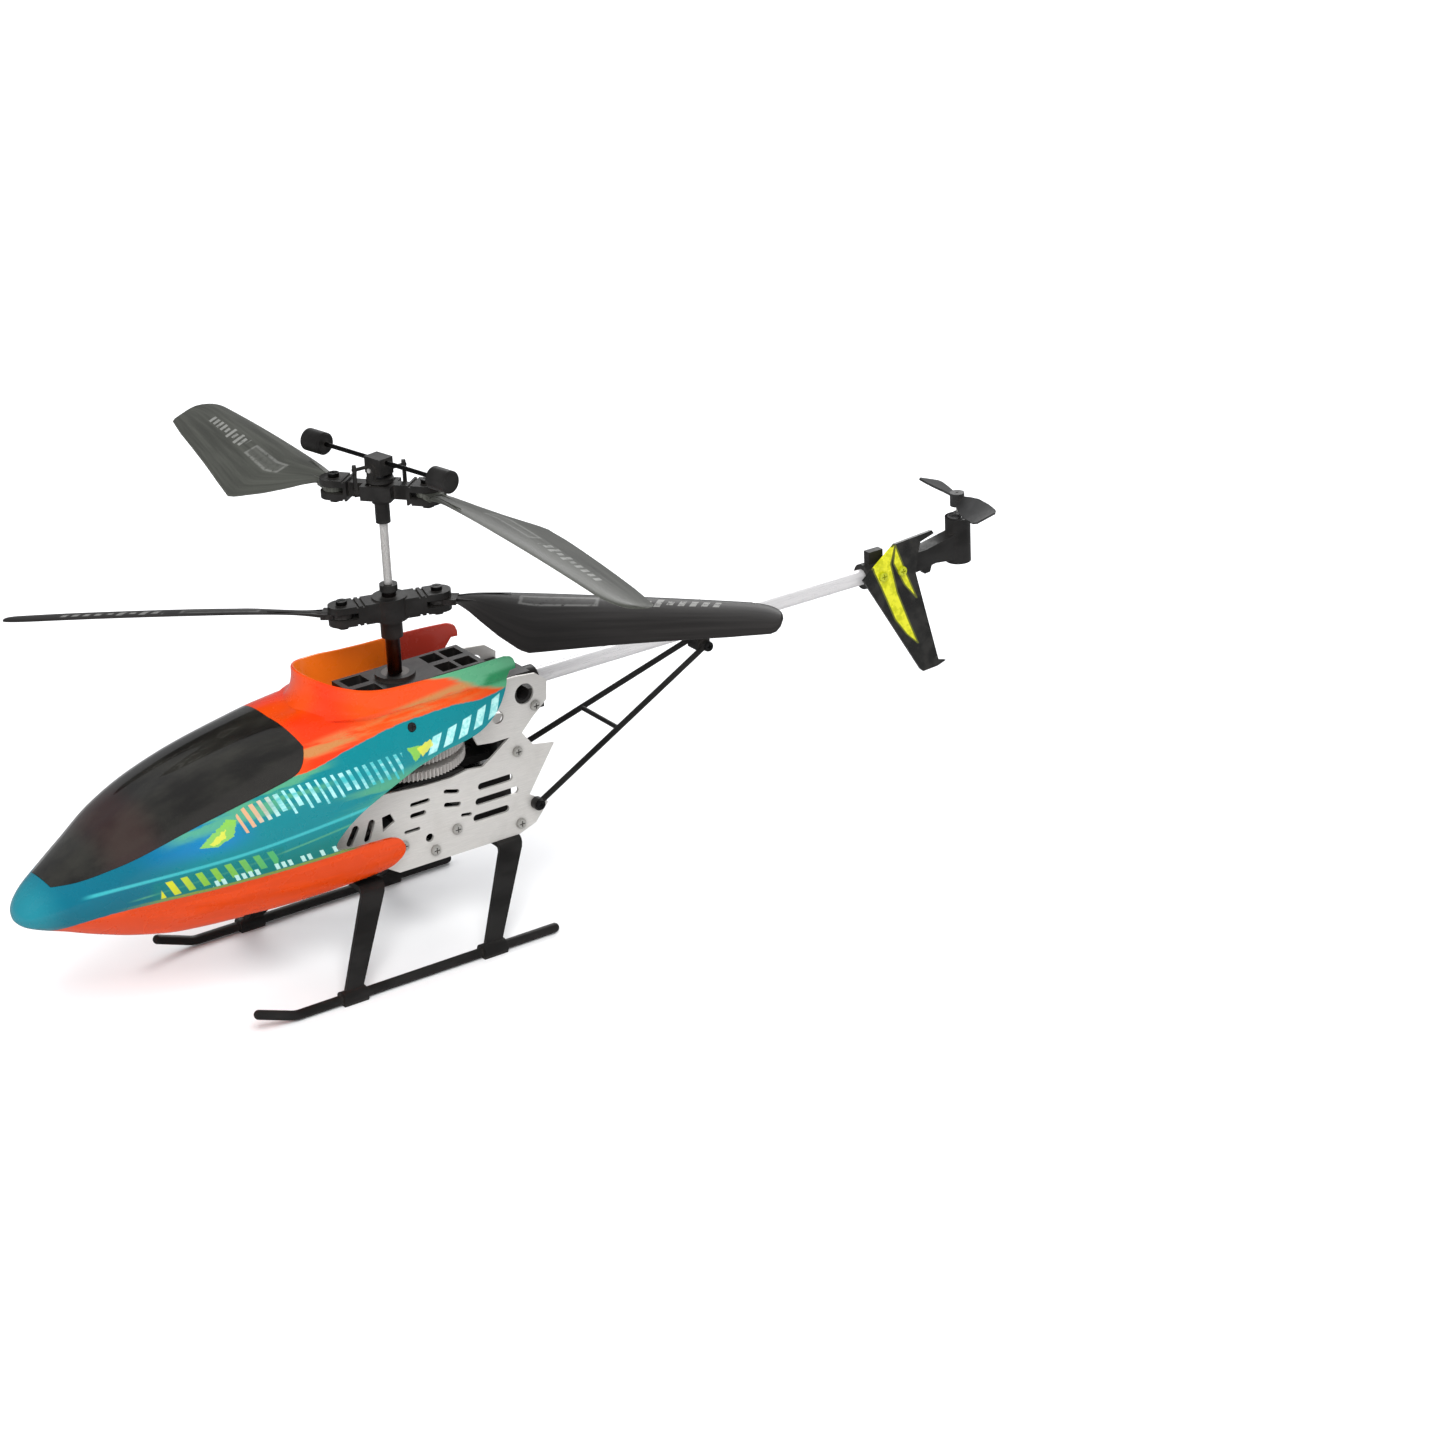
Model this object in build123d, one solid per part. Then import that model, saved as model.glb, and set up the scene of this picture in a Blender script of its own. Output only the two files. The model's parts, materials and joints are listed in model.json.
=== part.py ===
from build123d import *

import os
from math import acos, atan2, ceil, cos, degrees, pi, radians, sin, sqrt, tan

# A coaxial remote-control toy helicopter, about 0.41 m long, as separate sub-parts.
#
# Heights in this file are measured up from the ground. +X points to the nose, +Y to the
# helicopter's left and +Z up, with the rotor axis at x = y = 0. Each sub-part is lowered by
# FRAME_BOTTOM_Z as it is written, so the finished part's origin lies on the rotor axis in the
# underside of the frame's floor. All sizes are millimetres.

# ---------------------------------------------------------------- driving dimensions

ROTOR_RADIUS = 139.0        # rotor axis to blade tip, with the blade straight out
BLADE_BOLT_RADIUS = 17.0    # rotor axis to the blade bolt
BLADE_MAX_CHORD = 31.0
BLADE_TIP_CHORD = 18.5
LOWER_ROTOR_Z = 124.0
UPPER_ROTOR_Z = 167.5
LOWER_GRIP_AZIMUTH = 163.5
UPPER_GRIP_AZIMUTH = 129.0
LOWER_FOLD = (-26.0, -24.0)  # how far each lower blade hangs back from straight, degrees
UPPER_FOLD = (-39.0, -45.0)
FLYBAR_AZIMUTH = 102.0
FLYBAR_PIVOT_Z = 175.5
FLYBAR_Z = 178.0
FLYBAR_HALF_LENGTH = 36.5

PLATE_OUTER_Y = 17.5        # outer face of each side plate
PLATE_THICKNESS = 1.0
PLATE_INNER_Y = PLATE_OUTER_Y - PLATE_THICKNESS
FRAME_BOTTOM_Z = 32.0

GEAR_MODULE = 0.5
MAIN_GEAR_TEETH = 88
PINION_TEETH = 12
PRESSURE_ANGLE = 25.0
MOTOR_X = GEAR_MODULE * (MAIN_GEAR_TEETH + PINION_TEETH) / 2
LOWER_GEAR_Z = 66.5
UPPER_GEAR_Z = 72.0
GEAR_FACE = 3.0
INNER_SHAFT_R = 1.5
OUTER_SHAFT_R = 2.6
MOTOR_SHAFT_R = 0.75
RUNNING = 0.05              # radial running clearance of shafts in their bores

BOOM_Z = 82.0
BOOM_R = 3.0
BOOM_FRONT_X = -34.0
BOOM_REAR_X = -220.0
BOOM_CLAMP_X = -128.0
TAIL_AXIS_X = -249.0
TAIL_ROTOR_Z = 102.0
TAIL_ROTOR_R = 24.0

SKID_HALF_TRACK = 37.0
SKID_R = 1.75
SKID_Z = 2.0
SKID_REAR_X = -36.0
SKID_BEND_X = 70.0
SKID_TIP_X = 84.0
FOOT_X = (47.0, -10.0)
STRUT_TOP_X = (26.0, -31.0)
STRUT_SCREW_Y = 9.0

CANOPY_WALL = 1.2
HOOD_R = 22.0               # half-width of the intake collar
HOOD_CENTRE_X = 16.0
HOOD_REAR_X = -60.0


# ---------------------------------------------------------------- helpers


def polar(radius, azimuth, z=0.0):
    """A point at a radius and azimuth about the rotor axis."""
    a = radians(azimuth)
    return Vector(radius * cos(a), radius * sin(a), z)


def rod(start, end, radius):
    """A round rod between two points."""
    start, end = Vector(*start), Vector(*end)
    along = end - start
    plane = Plane(origin=start, z_dir=along)
    return extrude(plane * Circle(radius), amount=along.length)


def upright(x, y, z0, z1, radius):
    """A vertical cylinder from z0 to z1."""
    return Pos(x, y, (z0 + z1) / 2) * Cylinder(radius, z1 - z0)


def block(x0, x1, y0, y1, z0, z1):
    """An axis-aligned box from its limits."""
    centre = Pos((x0 + x1) / 2, (y0 + y1) / 2, (z0 + z1) / 2)
    return centre * Box(x1 - x0, y1 - y0, z1 - z0)


def side_panel(outline, y0, y1):
    """A flat panel whose outline is drawn in X and Z, standing between two values of Y."""
    face = make_face(Polyline([(x, y0, z) for x, z in outline], close=True))
    return extrude(face, amount=y1 - y0, dir=(0, 1, 0))


def side_slot(x, z, length, width, tilt, y0, y1):
    """A round-ended slot cutter through a side panel; tilt is degrees above the X axis."""
    plane = Plane(origin=(x, y0, z), x_dir=(cos(radians(tilt)), 0, sin(radians(tilt))), z_dir=(0, 1, 0))
    return extrude(plane * SlotOverall(length, width), amount=y1 - y0)


def side_hole(x, z, radius, y0, y1):
    """A round hole cutter, or a pin, along Y."""
    return rod((x, y0, z), (x, y1, z), radius)


def mirrored(shape):
    """The same shape on the helicopter's other side."""
    return mirror(shape, about=Plane.XZ)


def skinned(wires, ruled=False):
    """A solid stretched over a row of closed outlines."""
    return loft([make_face(wire.edges()) for wire in wires], ruled=ruled)


def at_azimuth(shape, azimuth):
    """Turns a shape drawn along +X to an azimuth about the rotor axis."""
    return Rot(0, 0, azimuth) * shape


# ---------------------------------------------------------------- gears


def involute_outline(teeth, backlash):
    """The outline of a spur gear with a tooth centred on +X, as a closed list of points."""
    pitch_r = GEAR_MODULE * teeth / 2
    base_r = pitch_r * cos(radians(PRESSURE_ANGLE))
    tip_r = pitch_r + 0.9 * GEAR_MODULE
    root_r = pitch_r - 1.2 * GEAR_MODULE
    half_tooth = pi / (2 * teeth) - backlash / (2 * pitch_r)

    def involute_angle(radius):
        a = acos(min(1.0, base_r / radius))
        return tan(a) - a

    flank_start = max(base_r, root_r) * 1.0001
    steps = 3
    radii = [flank_start + (tip_r - flank_start) * i / steps for i in range(steps + 1)]
    flank = [(r, half_tooth + involute_angle(pitch_r) - involute_angle(r)) for r in radii]
    if root_r < flank_start:
        flank.insert(0, (root_r, flank[0][1]))
    points = []
    for tooth in range(teeth):
        centre = 2 * pi * tooth / teeth
        points += [(r * cos(centre - a), r * sin(centre - a)) for r, a in flank]
        points += [(r * cos(centre + a), r * sin(centre + a)) for r, a in reversed(flank)]
    return points


def gear(teeth, z0, width, bore_r, turn=0.0, backlash=0.08, lightening_holes=()):
    """A spur gear standing on z0 with a plain bore."""
    outline = Polyline(involute_outline(teeth, backlash), close=True)
    flat = make_face(outline) - Circle(bore_r)
    for hole in lightening_holes:
        flat -= hole
    return Pos(0, 0, z0) * Rot(0, 0, turn) * extrude(flat, amount=width)


def main_gear(z0, bore_r, boss_r, boss_from, boss_to):
    """A large driven gear with six lightening holes and a boss round its shaft."""
    holes = [Rot(0, 0, 30 + 60 * i) * Pos(12.4, 0, 0) * Circle(4.2) for i in range(6)]
    wheel = gear(MAIN_GEAR_TEETH, z0, GEAR_FACE, bore_r, lightening_holes=holes)
    boss = upright(0, 0, boss_from, boss_to, boss_r) - upright(0, 0, boss_from, boss_to, bore_r)
    return wheel + boss


# ---------------------------------------------------------------- frame

# The side plate's outline, from the bottom front corner backwards and round.
PLATE_OUTLINE = [
    (14, 32), (-36, 32), (-43, 34.5), (-48.5, 41), (-41, 46), (-52.5, 63), (-44, 64.5),
    (-39.5, 70.5), (-44.5, 75.5), (-50.5, 80.5), (-51, 88), (-46.5, 91.5), (-38, 92.5),
    (-12, 92), (13.5, 92), (24, 82), (34, 71), (40, 60), (40, 44), (32, 39), (22, 37),
]
# The opening that the main gears turn in.
GEAR_WINDOW = [
    (26, 64.2), (28, 70), (18.5, 78), (-18, 78), (-21, 71), (-27, 70.2), (-34.2, 70.2),
    (-27.3, 65.3), (-22.5, 62.2), (-16.3, 62.9), (-9.8, 61.8), (2.7, 62.0), (18.4, 63.4),
]
PLATE_SLOTS = [
    # x, z, length, width, tilt
    (-27.2, 54.9, 14.5, 2.7, 0), (-27.5, 49.4, 18.0, 2.7, 0), (-24.7, 43.4, 15.0, 2.7, 0),
    (-9.1, 56.6, 6.5, 1.6, 15), (-9.1, 51.5, 7.0, 1.8, 12), (-14.5, 46.0, 4.5, 1.3, 8),
    (3.9, 56.1, 8.0, 1.6, 0), (5.0, 51.9, 6.5, 1.9, 0), (7.8, 46.5, 6.5, 1.3, 0),
    (31.6, 51.4, 8.0, 2.6, 120), (24.8, 51.4, 8.5, 2.6, 112),
]
SCREW_PLACES = [
    (11.6, 41.7), (-10.2, 41.7), (-36.6, 36.0), (-1.0, 36.3), (-37.0, 64.0), (36.5, 55.0), (8.0, 84.0),
]
SPACER_R = 2.0
SCREW_R = 0.9
SCREW_HEAD_R = 1.9
EAR_HOLE = (-41.4, 85.0)
HOLDER_SCREW = (-45.5, 79.5)
PEG_HOLE = (-30.1, 79.0)


def side_plate():
    """The left side plate: bright sheet metal with slots, holes and an ear for the boom."""
    y0, y1 = PLATE_INNER_Y, PLATE_OUTER_Y
    plate = side_panel(PLATE_OUTLINE, y0, y1)
    plate -= side_panel(GEAR_WINDOW, y0 - 1, y1 + 1)
    for x, z, length, width, tilt in PLATE_SLOTS:
        plate -= side_slot(x, z, length, width, tilt, y0 - 1, y1 + 1)
    for x, z in SCREW_PLACES:
        plate -= side_hole(x, z, SCREW_R + RUNNING, y0 - 1, y1 + 1)
    plate -= side_hole(1.0, 41.6, 1.6, y0 - 1, y1 + 1)
    plate -= side_hole(*EAR_HOLE, 3.9, y0 - 1, y1 + 1)
    plate -= side_hole(*PEG_HOLE, 2.3, y0 - 1, y1 + 1)
    plate -= side_panel([(19.5, 49.5), (19.5, 55), (16, 55.5), (14.5, 52)], y0 - 1, y1 + 1)
    for x, z in (HOLDER_SCREW, BOOM_SUPPORT_FOOT):
        plate -= side_hole(x, z, SCREW_R + RUNNING, y0 - 1, y1 + 1)
    return plate


def frame_spacers():
    """Aluminium posts that hold the side plates apart, tapped for the screws."""
    posts = []
    for x, z in SCREW_PLACES:
        post = side_hole(x, z, SPACER_R, -PLATE_INNER_Y, PLATE_INNER_Y)
        bores = side_hole(x, z, SCREW_R, -PLATE_INNER_Y, 5 - PLATE_INNER_Y)
        bores += side_hole(x, z, SCREW_R, PLATE_INNER_Y - 5, PLATE_INNER_Y)
        posts.append(post - bores)
    return Compound(posts)


def cap_screw(x, z, head_y, length, side):
    """A pan-head cross screw along Y whose head rests on head_y."""
    shank = side_hole(x, z, SCREW_R, side * (head_y - length), side * head_y)
    head = side_hole(x, z, SCREW_HEAD_R, side * head_y, side * (head_y + 1.1))
    head = fillet(head.edges().filter_by(GeomType.CIRCLE).sort_by(Axis.Y)[-1 if side > 0 else 0], 0.6)
    drive_y = side * (head_y + 0.75)
    drive = Pos(x, drive_y, z) * (Box(2.2, 0.8, 0.45) + Box(0.45, 0.8, 2.2))
    return shank + head - drive


def frame_screws():
    """The bright screws that hold the side plates to their posts and to the boom holder."""
    sides = (1, -1)
    screws = [cap_screw(x, z, PLATE_OUTER_Y, 5.5, side) for x, z in SCREW_PLACES for side in sides]
    screws += [cap_screw(*HOLDER_SCREW, PLATE_OUTER_Y, 6.5, side) for side in sides]
    return Compound(screws)


def lower_bearing_block():
    """The black moulding between the plates that carries the foot of the inner shaft."""
    body = block(-12, 12, -PLATE_INNER_Y, PLATE_INNER_Y, 44.5, 48.5)
    body -= block(-9, -5, -13, 13, 44, 49)
    body -= block(5, 9, -13, 13, 44, 49)
    body += upright(0, 0, 44.5, 51.5, 5.2)
    body -= upright(0, 0, 44, 48.0, 2.4)
    return body - upright(0, 0, 47.5, 52, 3.5)


def motor_mount():
    """The black deck that both motors hang from."""
    deck = block(-38, 38, -PLATE_INNER_Y + 0.05, PLATE_INNER_Y - 0.05, 61.0, 63.5)
    deck -= block(-34.5, -15.5, -20, -10.5, 60, 64)
    deck -= block(-34.5, -15.5, 10.5, 20, 60, 64)
    deck -= block(15.5, 40, -20, -10.5, 60, 64)
    deck -= block(15.5, 40, 10.5, 20, 60, 64)
    deck -= upright(0, 0, 60, 64, 5.5)
    rear_guard = block(-37, -29.5, -PLATE_INNER_Y + 0.05, PLATE_INNER_Y - 0.05, 63.5, 69.0)
    rear_guard -= side_hole(-37.0, 64.0, SPACER_R + 0.1, -20, 20)
    deck -= side_hole(-37.0, 64.0, SPACER_R + 0.1, -20, 20)
    deck += rear_guard
    # thin walls behind the plates' long slots
    for y in (-14.8, 13.8):
        deck += block(-35, -14.2, y, y + 1.0, 39.5, 61.5)
    for x in (-MOTOR_X, MOTOR_X):
        deck -= upright(x, 0, 60, 70, 3.1)
    return deck


def motor(x):
    """A brushed can motor with a front boss and two vents; its shaft turns in the bore."""
    can = upright(x, 0, 43.5, 61.0, 8.5)
    can = chamfer(can.edges().filter_by(GeomType.CIRCLE), 0.6)
    can += upright(x, 0, 61.0, 62.6, 3.0)
    can += upright(x, 0, 42.3, 43.5, 3.0)
    for side in (-1, 1):
        can -= Pos(x, side * 5.5, 61.0) * Box(5, 1.6, 2)
    return can - upright(x, 0, 40, 64, MOTOR_SHAFT_R + RUNNING)


def motor_shaft(x, top):
    """The steel shaft of a drive motor."""
    return upright(x, 0, 41.6, top, MOTOR_SHAFT_R)


def pinion(x, z0):
    """The brass pinion on a motor shaft, with a gap between teeth facing the main gear."""
    wheel = gear(PINION_TEETH, z0, GEAR_FACE, MOTOR_SHAFT_R, turn=180 / PINION_TEETH)
    return Pos(x, 0, 0) * wheel


TOP_BLOCK_Z = (89.0, 98.0)


def upper_bearing_block():
    """The black moulding seen through the roof hatch; it carries the outer shaft."""
    z0, z1 = TOP_BLOCK_Z
    body = block(-31, 20, -10, 10, z0, z1)
    body += block(-24, 14, -PLATE_INNER_Y, PLATE_INNER_Y, z0 - 7, z0 - 4)
    body += block(-20, -14, -PLATE_INNER_Y, PLATE_INNER_Y, z0 - 4, z0 + 2)
    body += block(5, 11, -PLATE_INNER_Y, PLATE_INNER_Y, z0 - 4, z0 + 2)
    body += block(-24, 14, -8, 8, z0 - 4, z0)
    body -= side_hole(8.0, 84.0, SPACER_R + 0.1, -20, 20)
    for x0, x1 in ((-29, -22.5), (-21, -14.5), (9.5, 18)):
        for side in (-1, 1):
            low, high = sorted((side * 1.5, side * 8.4))
            body -= block(x0, x1, low, high, z1 - 4.5, z1 + 1)
    body += upright(0, 0, z1 - 1, z1 + 1.5, 7.2)
    body -= upright(0, 0, z1 - 2.5, z1 + 2, 5.0)
    return body - upright(0, 0, z0 - 10, z1, 3.4)


def shaft_bearings():
    """Three bearing rings: one for the outer shaft, two for the inner shaft."""
    z1 = TOP_BLOCK_Z[1]
    top = upright(0, 0, z1 - 2.5, z1 + 1.5, 5.0) - upright(0, 0, 90, 100, OUTER_SHAFT_R + RUNNING)
    foot = upright(0, 0, 48.0, 51.5, 3.5) - upright(0, 0, 47, 53, INNER_SHAFT_R + RUNNING)
    return Compound([top, foot])


# ---------------------------------------------------------------- power and electronics


def battery_tray():
    """The black channel ahead of the side plates that holds the battery."""
    tray = block(41, 104, -12.5, 12.5, 46, 62)
    tray -= block(42.5, 102.5, -11, 11, 47.5, 63)
    for x in (50, 66, 82):
        tray -= block(x, x + 10, -13, 13, 51, 58)
        tray -= block(x, x + 10, -7, 7, 45, 49)
    tray += block(31, 42, -PLATE_INNER_Y, PLATE_INNER_Y, 48, 50)
    tray -= block(30, 34, -9.5, 9.5, 47, 51)
    return tray


def battery_pack():
    """A single-cell lithium pack in heat-shrink."""
    pack = block(43.5, 100, -10.5, 10.5, 47.5, 59.5)
    return fillet(pack.edges().filter_by(Axis.X), 3.0)


BOARD_Z = 64.5


def receiver_board():
    """The circuit board above the battery, with its standoffs."""
    board = block(44, 98, -12, 12, BOARD_Z, BOARD_Z + 1.2)
    legs = [block(x, x + 3, y, y + 1.4, 62, BOARD_Z) for x in (44.5, 93.5) for y in (-12.4, 11.0)]
    for leg in legs:
        board += leg
    return board


def board_components():
    """The chips, capacitor and connector that stand on the board."""
    top = BOARD_Z + 1.2
    parts = [
        block(52, 62, -5, 5, top, top + 1.6),
        block(68, 74, -8, -3, top, top + 1.2),
        block(68, 74, 2, 7, top, top + 1.2),
        block(86, 93, -4, 4, top, top + 3.5),
        upright(80, 6, top, top + 6, 2.5),
        block(46, 49.5, -6, 6, top, top + 4),
    ]
    return Compound(parts)


def nose_light():
    """The round lamp behind the windscreen, on its two leads."""
    lamp = Pos(113, 0, 63) * Cylinder(2.5, 5, rotation=(0, 90, 0))
    lamp += Pos(115.5, 0, 63) * Sphere(2.5)
    for y in (-0.9, 0.9):
        lamp += rod((104, y, 63), (111, y, 63), 0.35)
    lamp += block(98.05, 104.5, -2, 2, 62, 65.7)
    return lamp


SWITCH_X = 8.0


def switch_housing():
    """The on-off switch under the frame, with a slot for its slider."""
    body = block(SWITCH_X - 6, SWITCH_X + 5.3, -3.2, 3.2, 32.4, 36.8)
    body += block(SWITCH_X - 8.5, SWITCH_X + 8.5, -PLATE_INNER_Y, PLATE_INNER_Y, 37.0, 38.2)
    body += block(SWITCH_X - 6, SWITCH_X + 5.3, -3.2, 3.2, 36.7, 37.1)
    body -= block(SWITCH_X - 3.6, SWITCH_X + 3.6, -1.3, 1.3, 32, 34.6)
    return body - side_hole(-1.0, 36.3, SPACER_R + 0.1, -20, 20)


def switch_slider():
    """The slider, at its off end; it moves forward to switch on."""
    thumb = block(SWITCH_X - 3.5, SWITCH_X - 0.5, -1.2, 1.2, 31.2, 34.4)
    return thumb


CHARGE_X = -14.0
CHARGE_BORE_R = 1.75


def charge_socket():
    """The charging jack that points down out of the frame, on its cross strip."""
    body = upright(CHARGE_X, 0, FRAME_BOTTOM_Z, 39.4, 3.6)
    body += block(CHARGE_X - 3, CHARGE_X + 3, -PLATE_INNER_Y, PLATE_INNER_Y, 36.0, 38.0)
    return body - upright(CHARGE_X, 0, FRAME_BOTTOM_Z - 1, 38.5, CHARGE_BORE_R)


def frame_floor():
    """The thin black floor between the plates, with openings for the switch and the jack."""
    floor = block(-23.5, 13.5, -PLATE_INNER_Y, PLATE_INNER_Y, FRAME_BOTTOM_Z, FRAME_BOTTOM_Z + 1.2)
    floor -= block(SWITCH_X - 6.1, SWITCH_X + 5.4, -3.3, 3.3, FRAME_BOTTOM_Z - 1, FRAME_BOTTOM_Z + 2)
    return floor - upright(CHARGE_X, 0, FRAME_BOTTOM_Z - 1, FRAME_BOTTOM_Z + 2, 3.7)


# ---------------------------------------------------------------- rotor shafts and heads


def inner_shaft():
    """The steel shaft that carries the upper rotor and the lower main gear."""
    return upright(0, 0, 48.2, UPPER_ROTOR_Z + 2.5, INNER_SHAFT_R)


def outer_shaft():
    """The tube that carries the lower rotor and the upper main gear."""
    z0, z1 = UPPER_GEAR_Z - 0.7, LOWER_ROTOR_Z + 5.5
    return upright(0, 0, z0, z1, OUTER_SHAFT_R) - upright(0, 0, z0 - 1, z1 + 1, INNER_SHAFT_R + RUNNING)


LUG_R = 4.0
LUG_THICKNESS = 2.0
FORK_GAP = 2.4
BOLT_R = 1.0


def fork_arm(z, r0, r1, half_width, half_height):
    """One blade fork along +X, slotted for the blade's lug, with ribs under it."""
    arm = block(r0, r1 - half_width, -half_width, half_width, z - half_height, z + half_height)
    arm += upright(r1 - half_width, 0, z - half_height, z + half_height, half_width)
    slot_from = BLADE_BOLT_RADIUS - LUG_R - 0.8
    arm -= block(slot_from, r1 + 1, -half_width - 1, half_width + 1, z - FORK_GAP / 2, z + FORK_GAP / 2)
    for x in (r1 - 12.4, r1 - 10.2):
        arm -= block(x, x + 0.9, -half_width - 1, half_width + 1, z + half_height - 0.6, z + half_height + 1)
        arm -= block(x, x + 0.9, -half_width - 1, half_width + 1, z - half_height - 1, z - half_height + 0.6)
    return arm - upright(BLADE_BOLT_RADIUS, 0, z - 10, z + 10, BOLT_R + RUNNING)


def lower_rotor_hub():
    """The lower rotor's hub: a moulding with two forks, on the outer shaft."""
    z = LOWER_ROTOR_Z
    hub = upright(0, 0, z - 4.2, z + 4.2, 6.2) + upright(0, 0, z - 11, z - 4.2, 3.9)
    for turn in (0, 180):
        arm = fork_arm(z, 4.5, 22.0, 4.6, 3.6)
        hub += at_azimuth(arm, LOWER_GRIP_AZIMUTH + turn)
    return hub - upright(0, 0, z - 12, z + 6, OUTER_SHAFT_R)


def shaft_collar():
    """The ring on the inner shaft that sits above the lower rotor."""
    z = LOWER_ROTOR_Z + 6.2
    return upright(0, 0, z, z + 2.4, 3.2) - upright(0, 0, z - 1, z + 4, INNER_SHAFT_R)


def blade_bolt(z):
    """The bolt and nut that hold one blade in its fork, along +X."""
    x = BLADE_BOLT_RADIUS
    top = z + 3.6
    bolt = upright(x, 0, z - 5.6, top, BOLT_R) + upright(x, 0, top, top + 1.4, 2.0)
    nut = extrude(Pos(x, 0, z - 5.2) * RegularPolygon(2.2, 6), amount=1.6)
    bolt += nut
    return bolt - Pos(x, 0, top + 1.2) * Box(2.6, 0.5, 0.9)


def blade_bolts(z, azimuth):
    """Both blade bolts of one rotor."""
    return Compound([at_azimuth(blade_bolt(z), azimuth + turn) for turn in (0, 180)])


BLADE_LENGTH = ROTOR_RADIUS - BLADE_BOLT_RADIUS
# Blade stations: distance from the bolt, chord, leading edge ahead of the bolt, pitch.
BLADE_STATIONS = [
    (6.6, 7.2, 3.6, 2), (11, 10.5, 3.9, 12), (17, 16, 4.0, 18), (25, 23.5, 4.0, 20),
    (33, 29.8, 4.0, 20), (37, BLADE_MAX_CHORD, 4.0, 20), (50, 29.0, 4.0, 19), (68, 26.0, 4.0, 18),
    (86, 23.3, 4.0, 17), (104, 20.6, 4.0, 16), (114, BLADE_TIP_CHORD, 3.6, 15.5),
    (118.5, 15.6, 2.2, 15), (121.2, 11.0, -0.4, 15), (BLADE_LENGTH, 7.0, -2.6, 15),
]


def blade_section(station, droop, hand):
    """One cross-section of a blade: a thin cambered strip at its pitch."""
    x, chord, lead, pitch = station
    thick = 0.45 + 0.75 * min(1.0, chord / 20)
    camber = 0.05 * chord
    lead_z, trail_z = 0.35 * thick, 0.2 * thick
    z_shift = -droop * x * x
    a = radians(pitch)

    def place(ahead, up):
        y = ahead * cos(a) - up * sin(a)
        z = ahead * sin(a) + up * cos(a) + z_shift
        return (x, hand * y, z)

    trail = lead - chord
    crown = lead - 0.42 * chord
    top = ThreePointArc(place(lead, lead_z), place(crown, camber + thick / 2), place(trail, trail_z))
    under = ThreePointArc(place(trail, -trail_z), place(crown, camber - thick / 2), place(lead, -lead_z))
    tail = Line(place(trail, trail_z), place(trail, -trail_z))
    nose = Line(place(lead, -lead_z), place(lead, lead_z))
    return Wire([top, tail, under, nose])


def rotor_blade(droop, hand):
    """A blade along +X with its bolt hole at the origin; hand is +1 for anticlockwise rotors."""
    sections = [blade_section(s, droop, hand) for s in BLADE_STATIONS]
    wing = skinned(sections, ruled=True)
    half = LUG_THICKNESS / 2
    lug = upright(0, 0, -half, half, LUG_R)
    neck = block(0, 7.4, -3.4, 3.4, -half, half)
    blade = lug + neck + wing
    return blade - upright(0, 0, -5, 5, BOLT_R + RUNNING)


def placed_blade(z, grip_azimuth, fold, droop, hand):
    """A rotor blade hung on its bolt and folded from straight by an angle."""
    bolt = polar(BLADE_BOLT_RADIUS, grip_azimuth, z)
    return Pos(bolt) * Rot(0, 0, grip_azimuth + fold) * rotor_blade(droop, hand)


LOWER_DROOP = 0.0002        # how far a blade's own weight bends it, per millimetre squared
UPPER_DROOP = 0.00035

LINK_R = 8.6                # rotor axis to the ball links
LINK_AZIMUTH = 159.0
LINK_EYE_R = 1.8
BALL_R = 1.0
FEATHER_PIN_R = 1.0
TEETER_PIN_R = 0.8
HEAD_CORE_R = 3.4


def upper_head():
    """The fixed centre of the upper rotor: sleeve, core and the fork that holds the flybar."""
    z = UPPER_ROTOR_Z
    head = upright(0, 0, z - 12, z - 4.6, 2.6) + upright(0, 0, z - 4.6, z + 3.2, HEAD_CORE_R)
    head += upright(0, 0, z + 3.2, z + 4.4, 4.8)
    ear = block(3.1, 4.5, -1.7, 1.7, z + 4.0, FLYBAR_PIVOT_Z) + Pos(3.8, 0, FLYBAR_PIVOT_Z) * Cylinder(
        1.7, 1.4, rotation=(0, 90, 0)
    )
    pin_azimuth = FLYBAR_AZIMUTH - 90
    head += at_azimuth(ear, pin_azimuth) + at_azimuth(ear, pin_azimuth + 180)
    head -= rod(polar(-6, pin_azimuth, FLYBAR_PIVOT_Z), polar(6, pin_azimuth, FLYBAR_PIVOT_Z), TEETER_PIN_R)
    head -= rod(polar(-8, UPPER_GRIP_AZIMUTH, z), polar(8, UPPER_GRIP_AZIMUTH, z), FEATHER_PIN_R)
    return head - upright(0, 0, z - 13, z + 2.5, INNER_SHAFT_R)


def head_pins():
    """The flybar's teeter pin and the grip's two feathering pins."""
    z, grip = UPPER_ROTOR_Z, UPPER_GRIP_AZIMUTH
    pin_azimuth = FLYBAR_AZIMUTH - 90
    teeter = rod(polar(-5.0, pin_azimuth, FLYBAR_PIVOT_Z), polar(5.0, pin_azimuth, FLYBAR_PIVOT_Z), TEETER_PIN_R)
    feather = [rod(polar(s * 1.6, grip, z), polar(s * 5.6, grip, z), FEATHER_PIN_R) for s in (1, -1)]
    return Compound([teeter, *feather])


def horn(z, root, turn):
    """A short arm from a root point to a ball on its end for a link."""
    end = polar(LINK_R, LINK_AZIMUTH, z)
    arm = rod(root, end, 0.65) + Pos(end) * Sphere(BALL_R)
    return Rot(0, 0, turn) * arm


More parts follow.
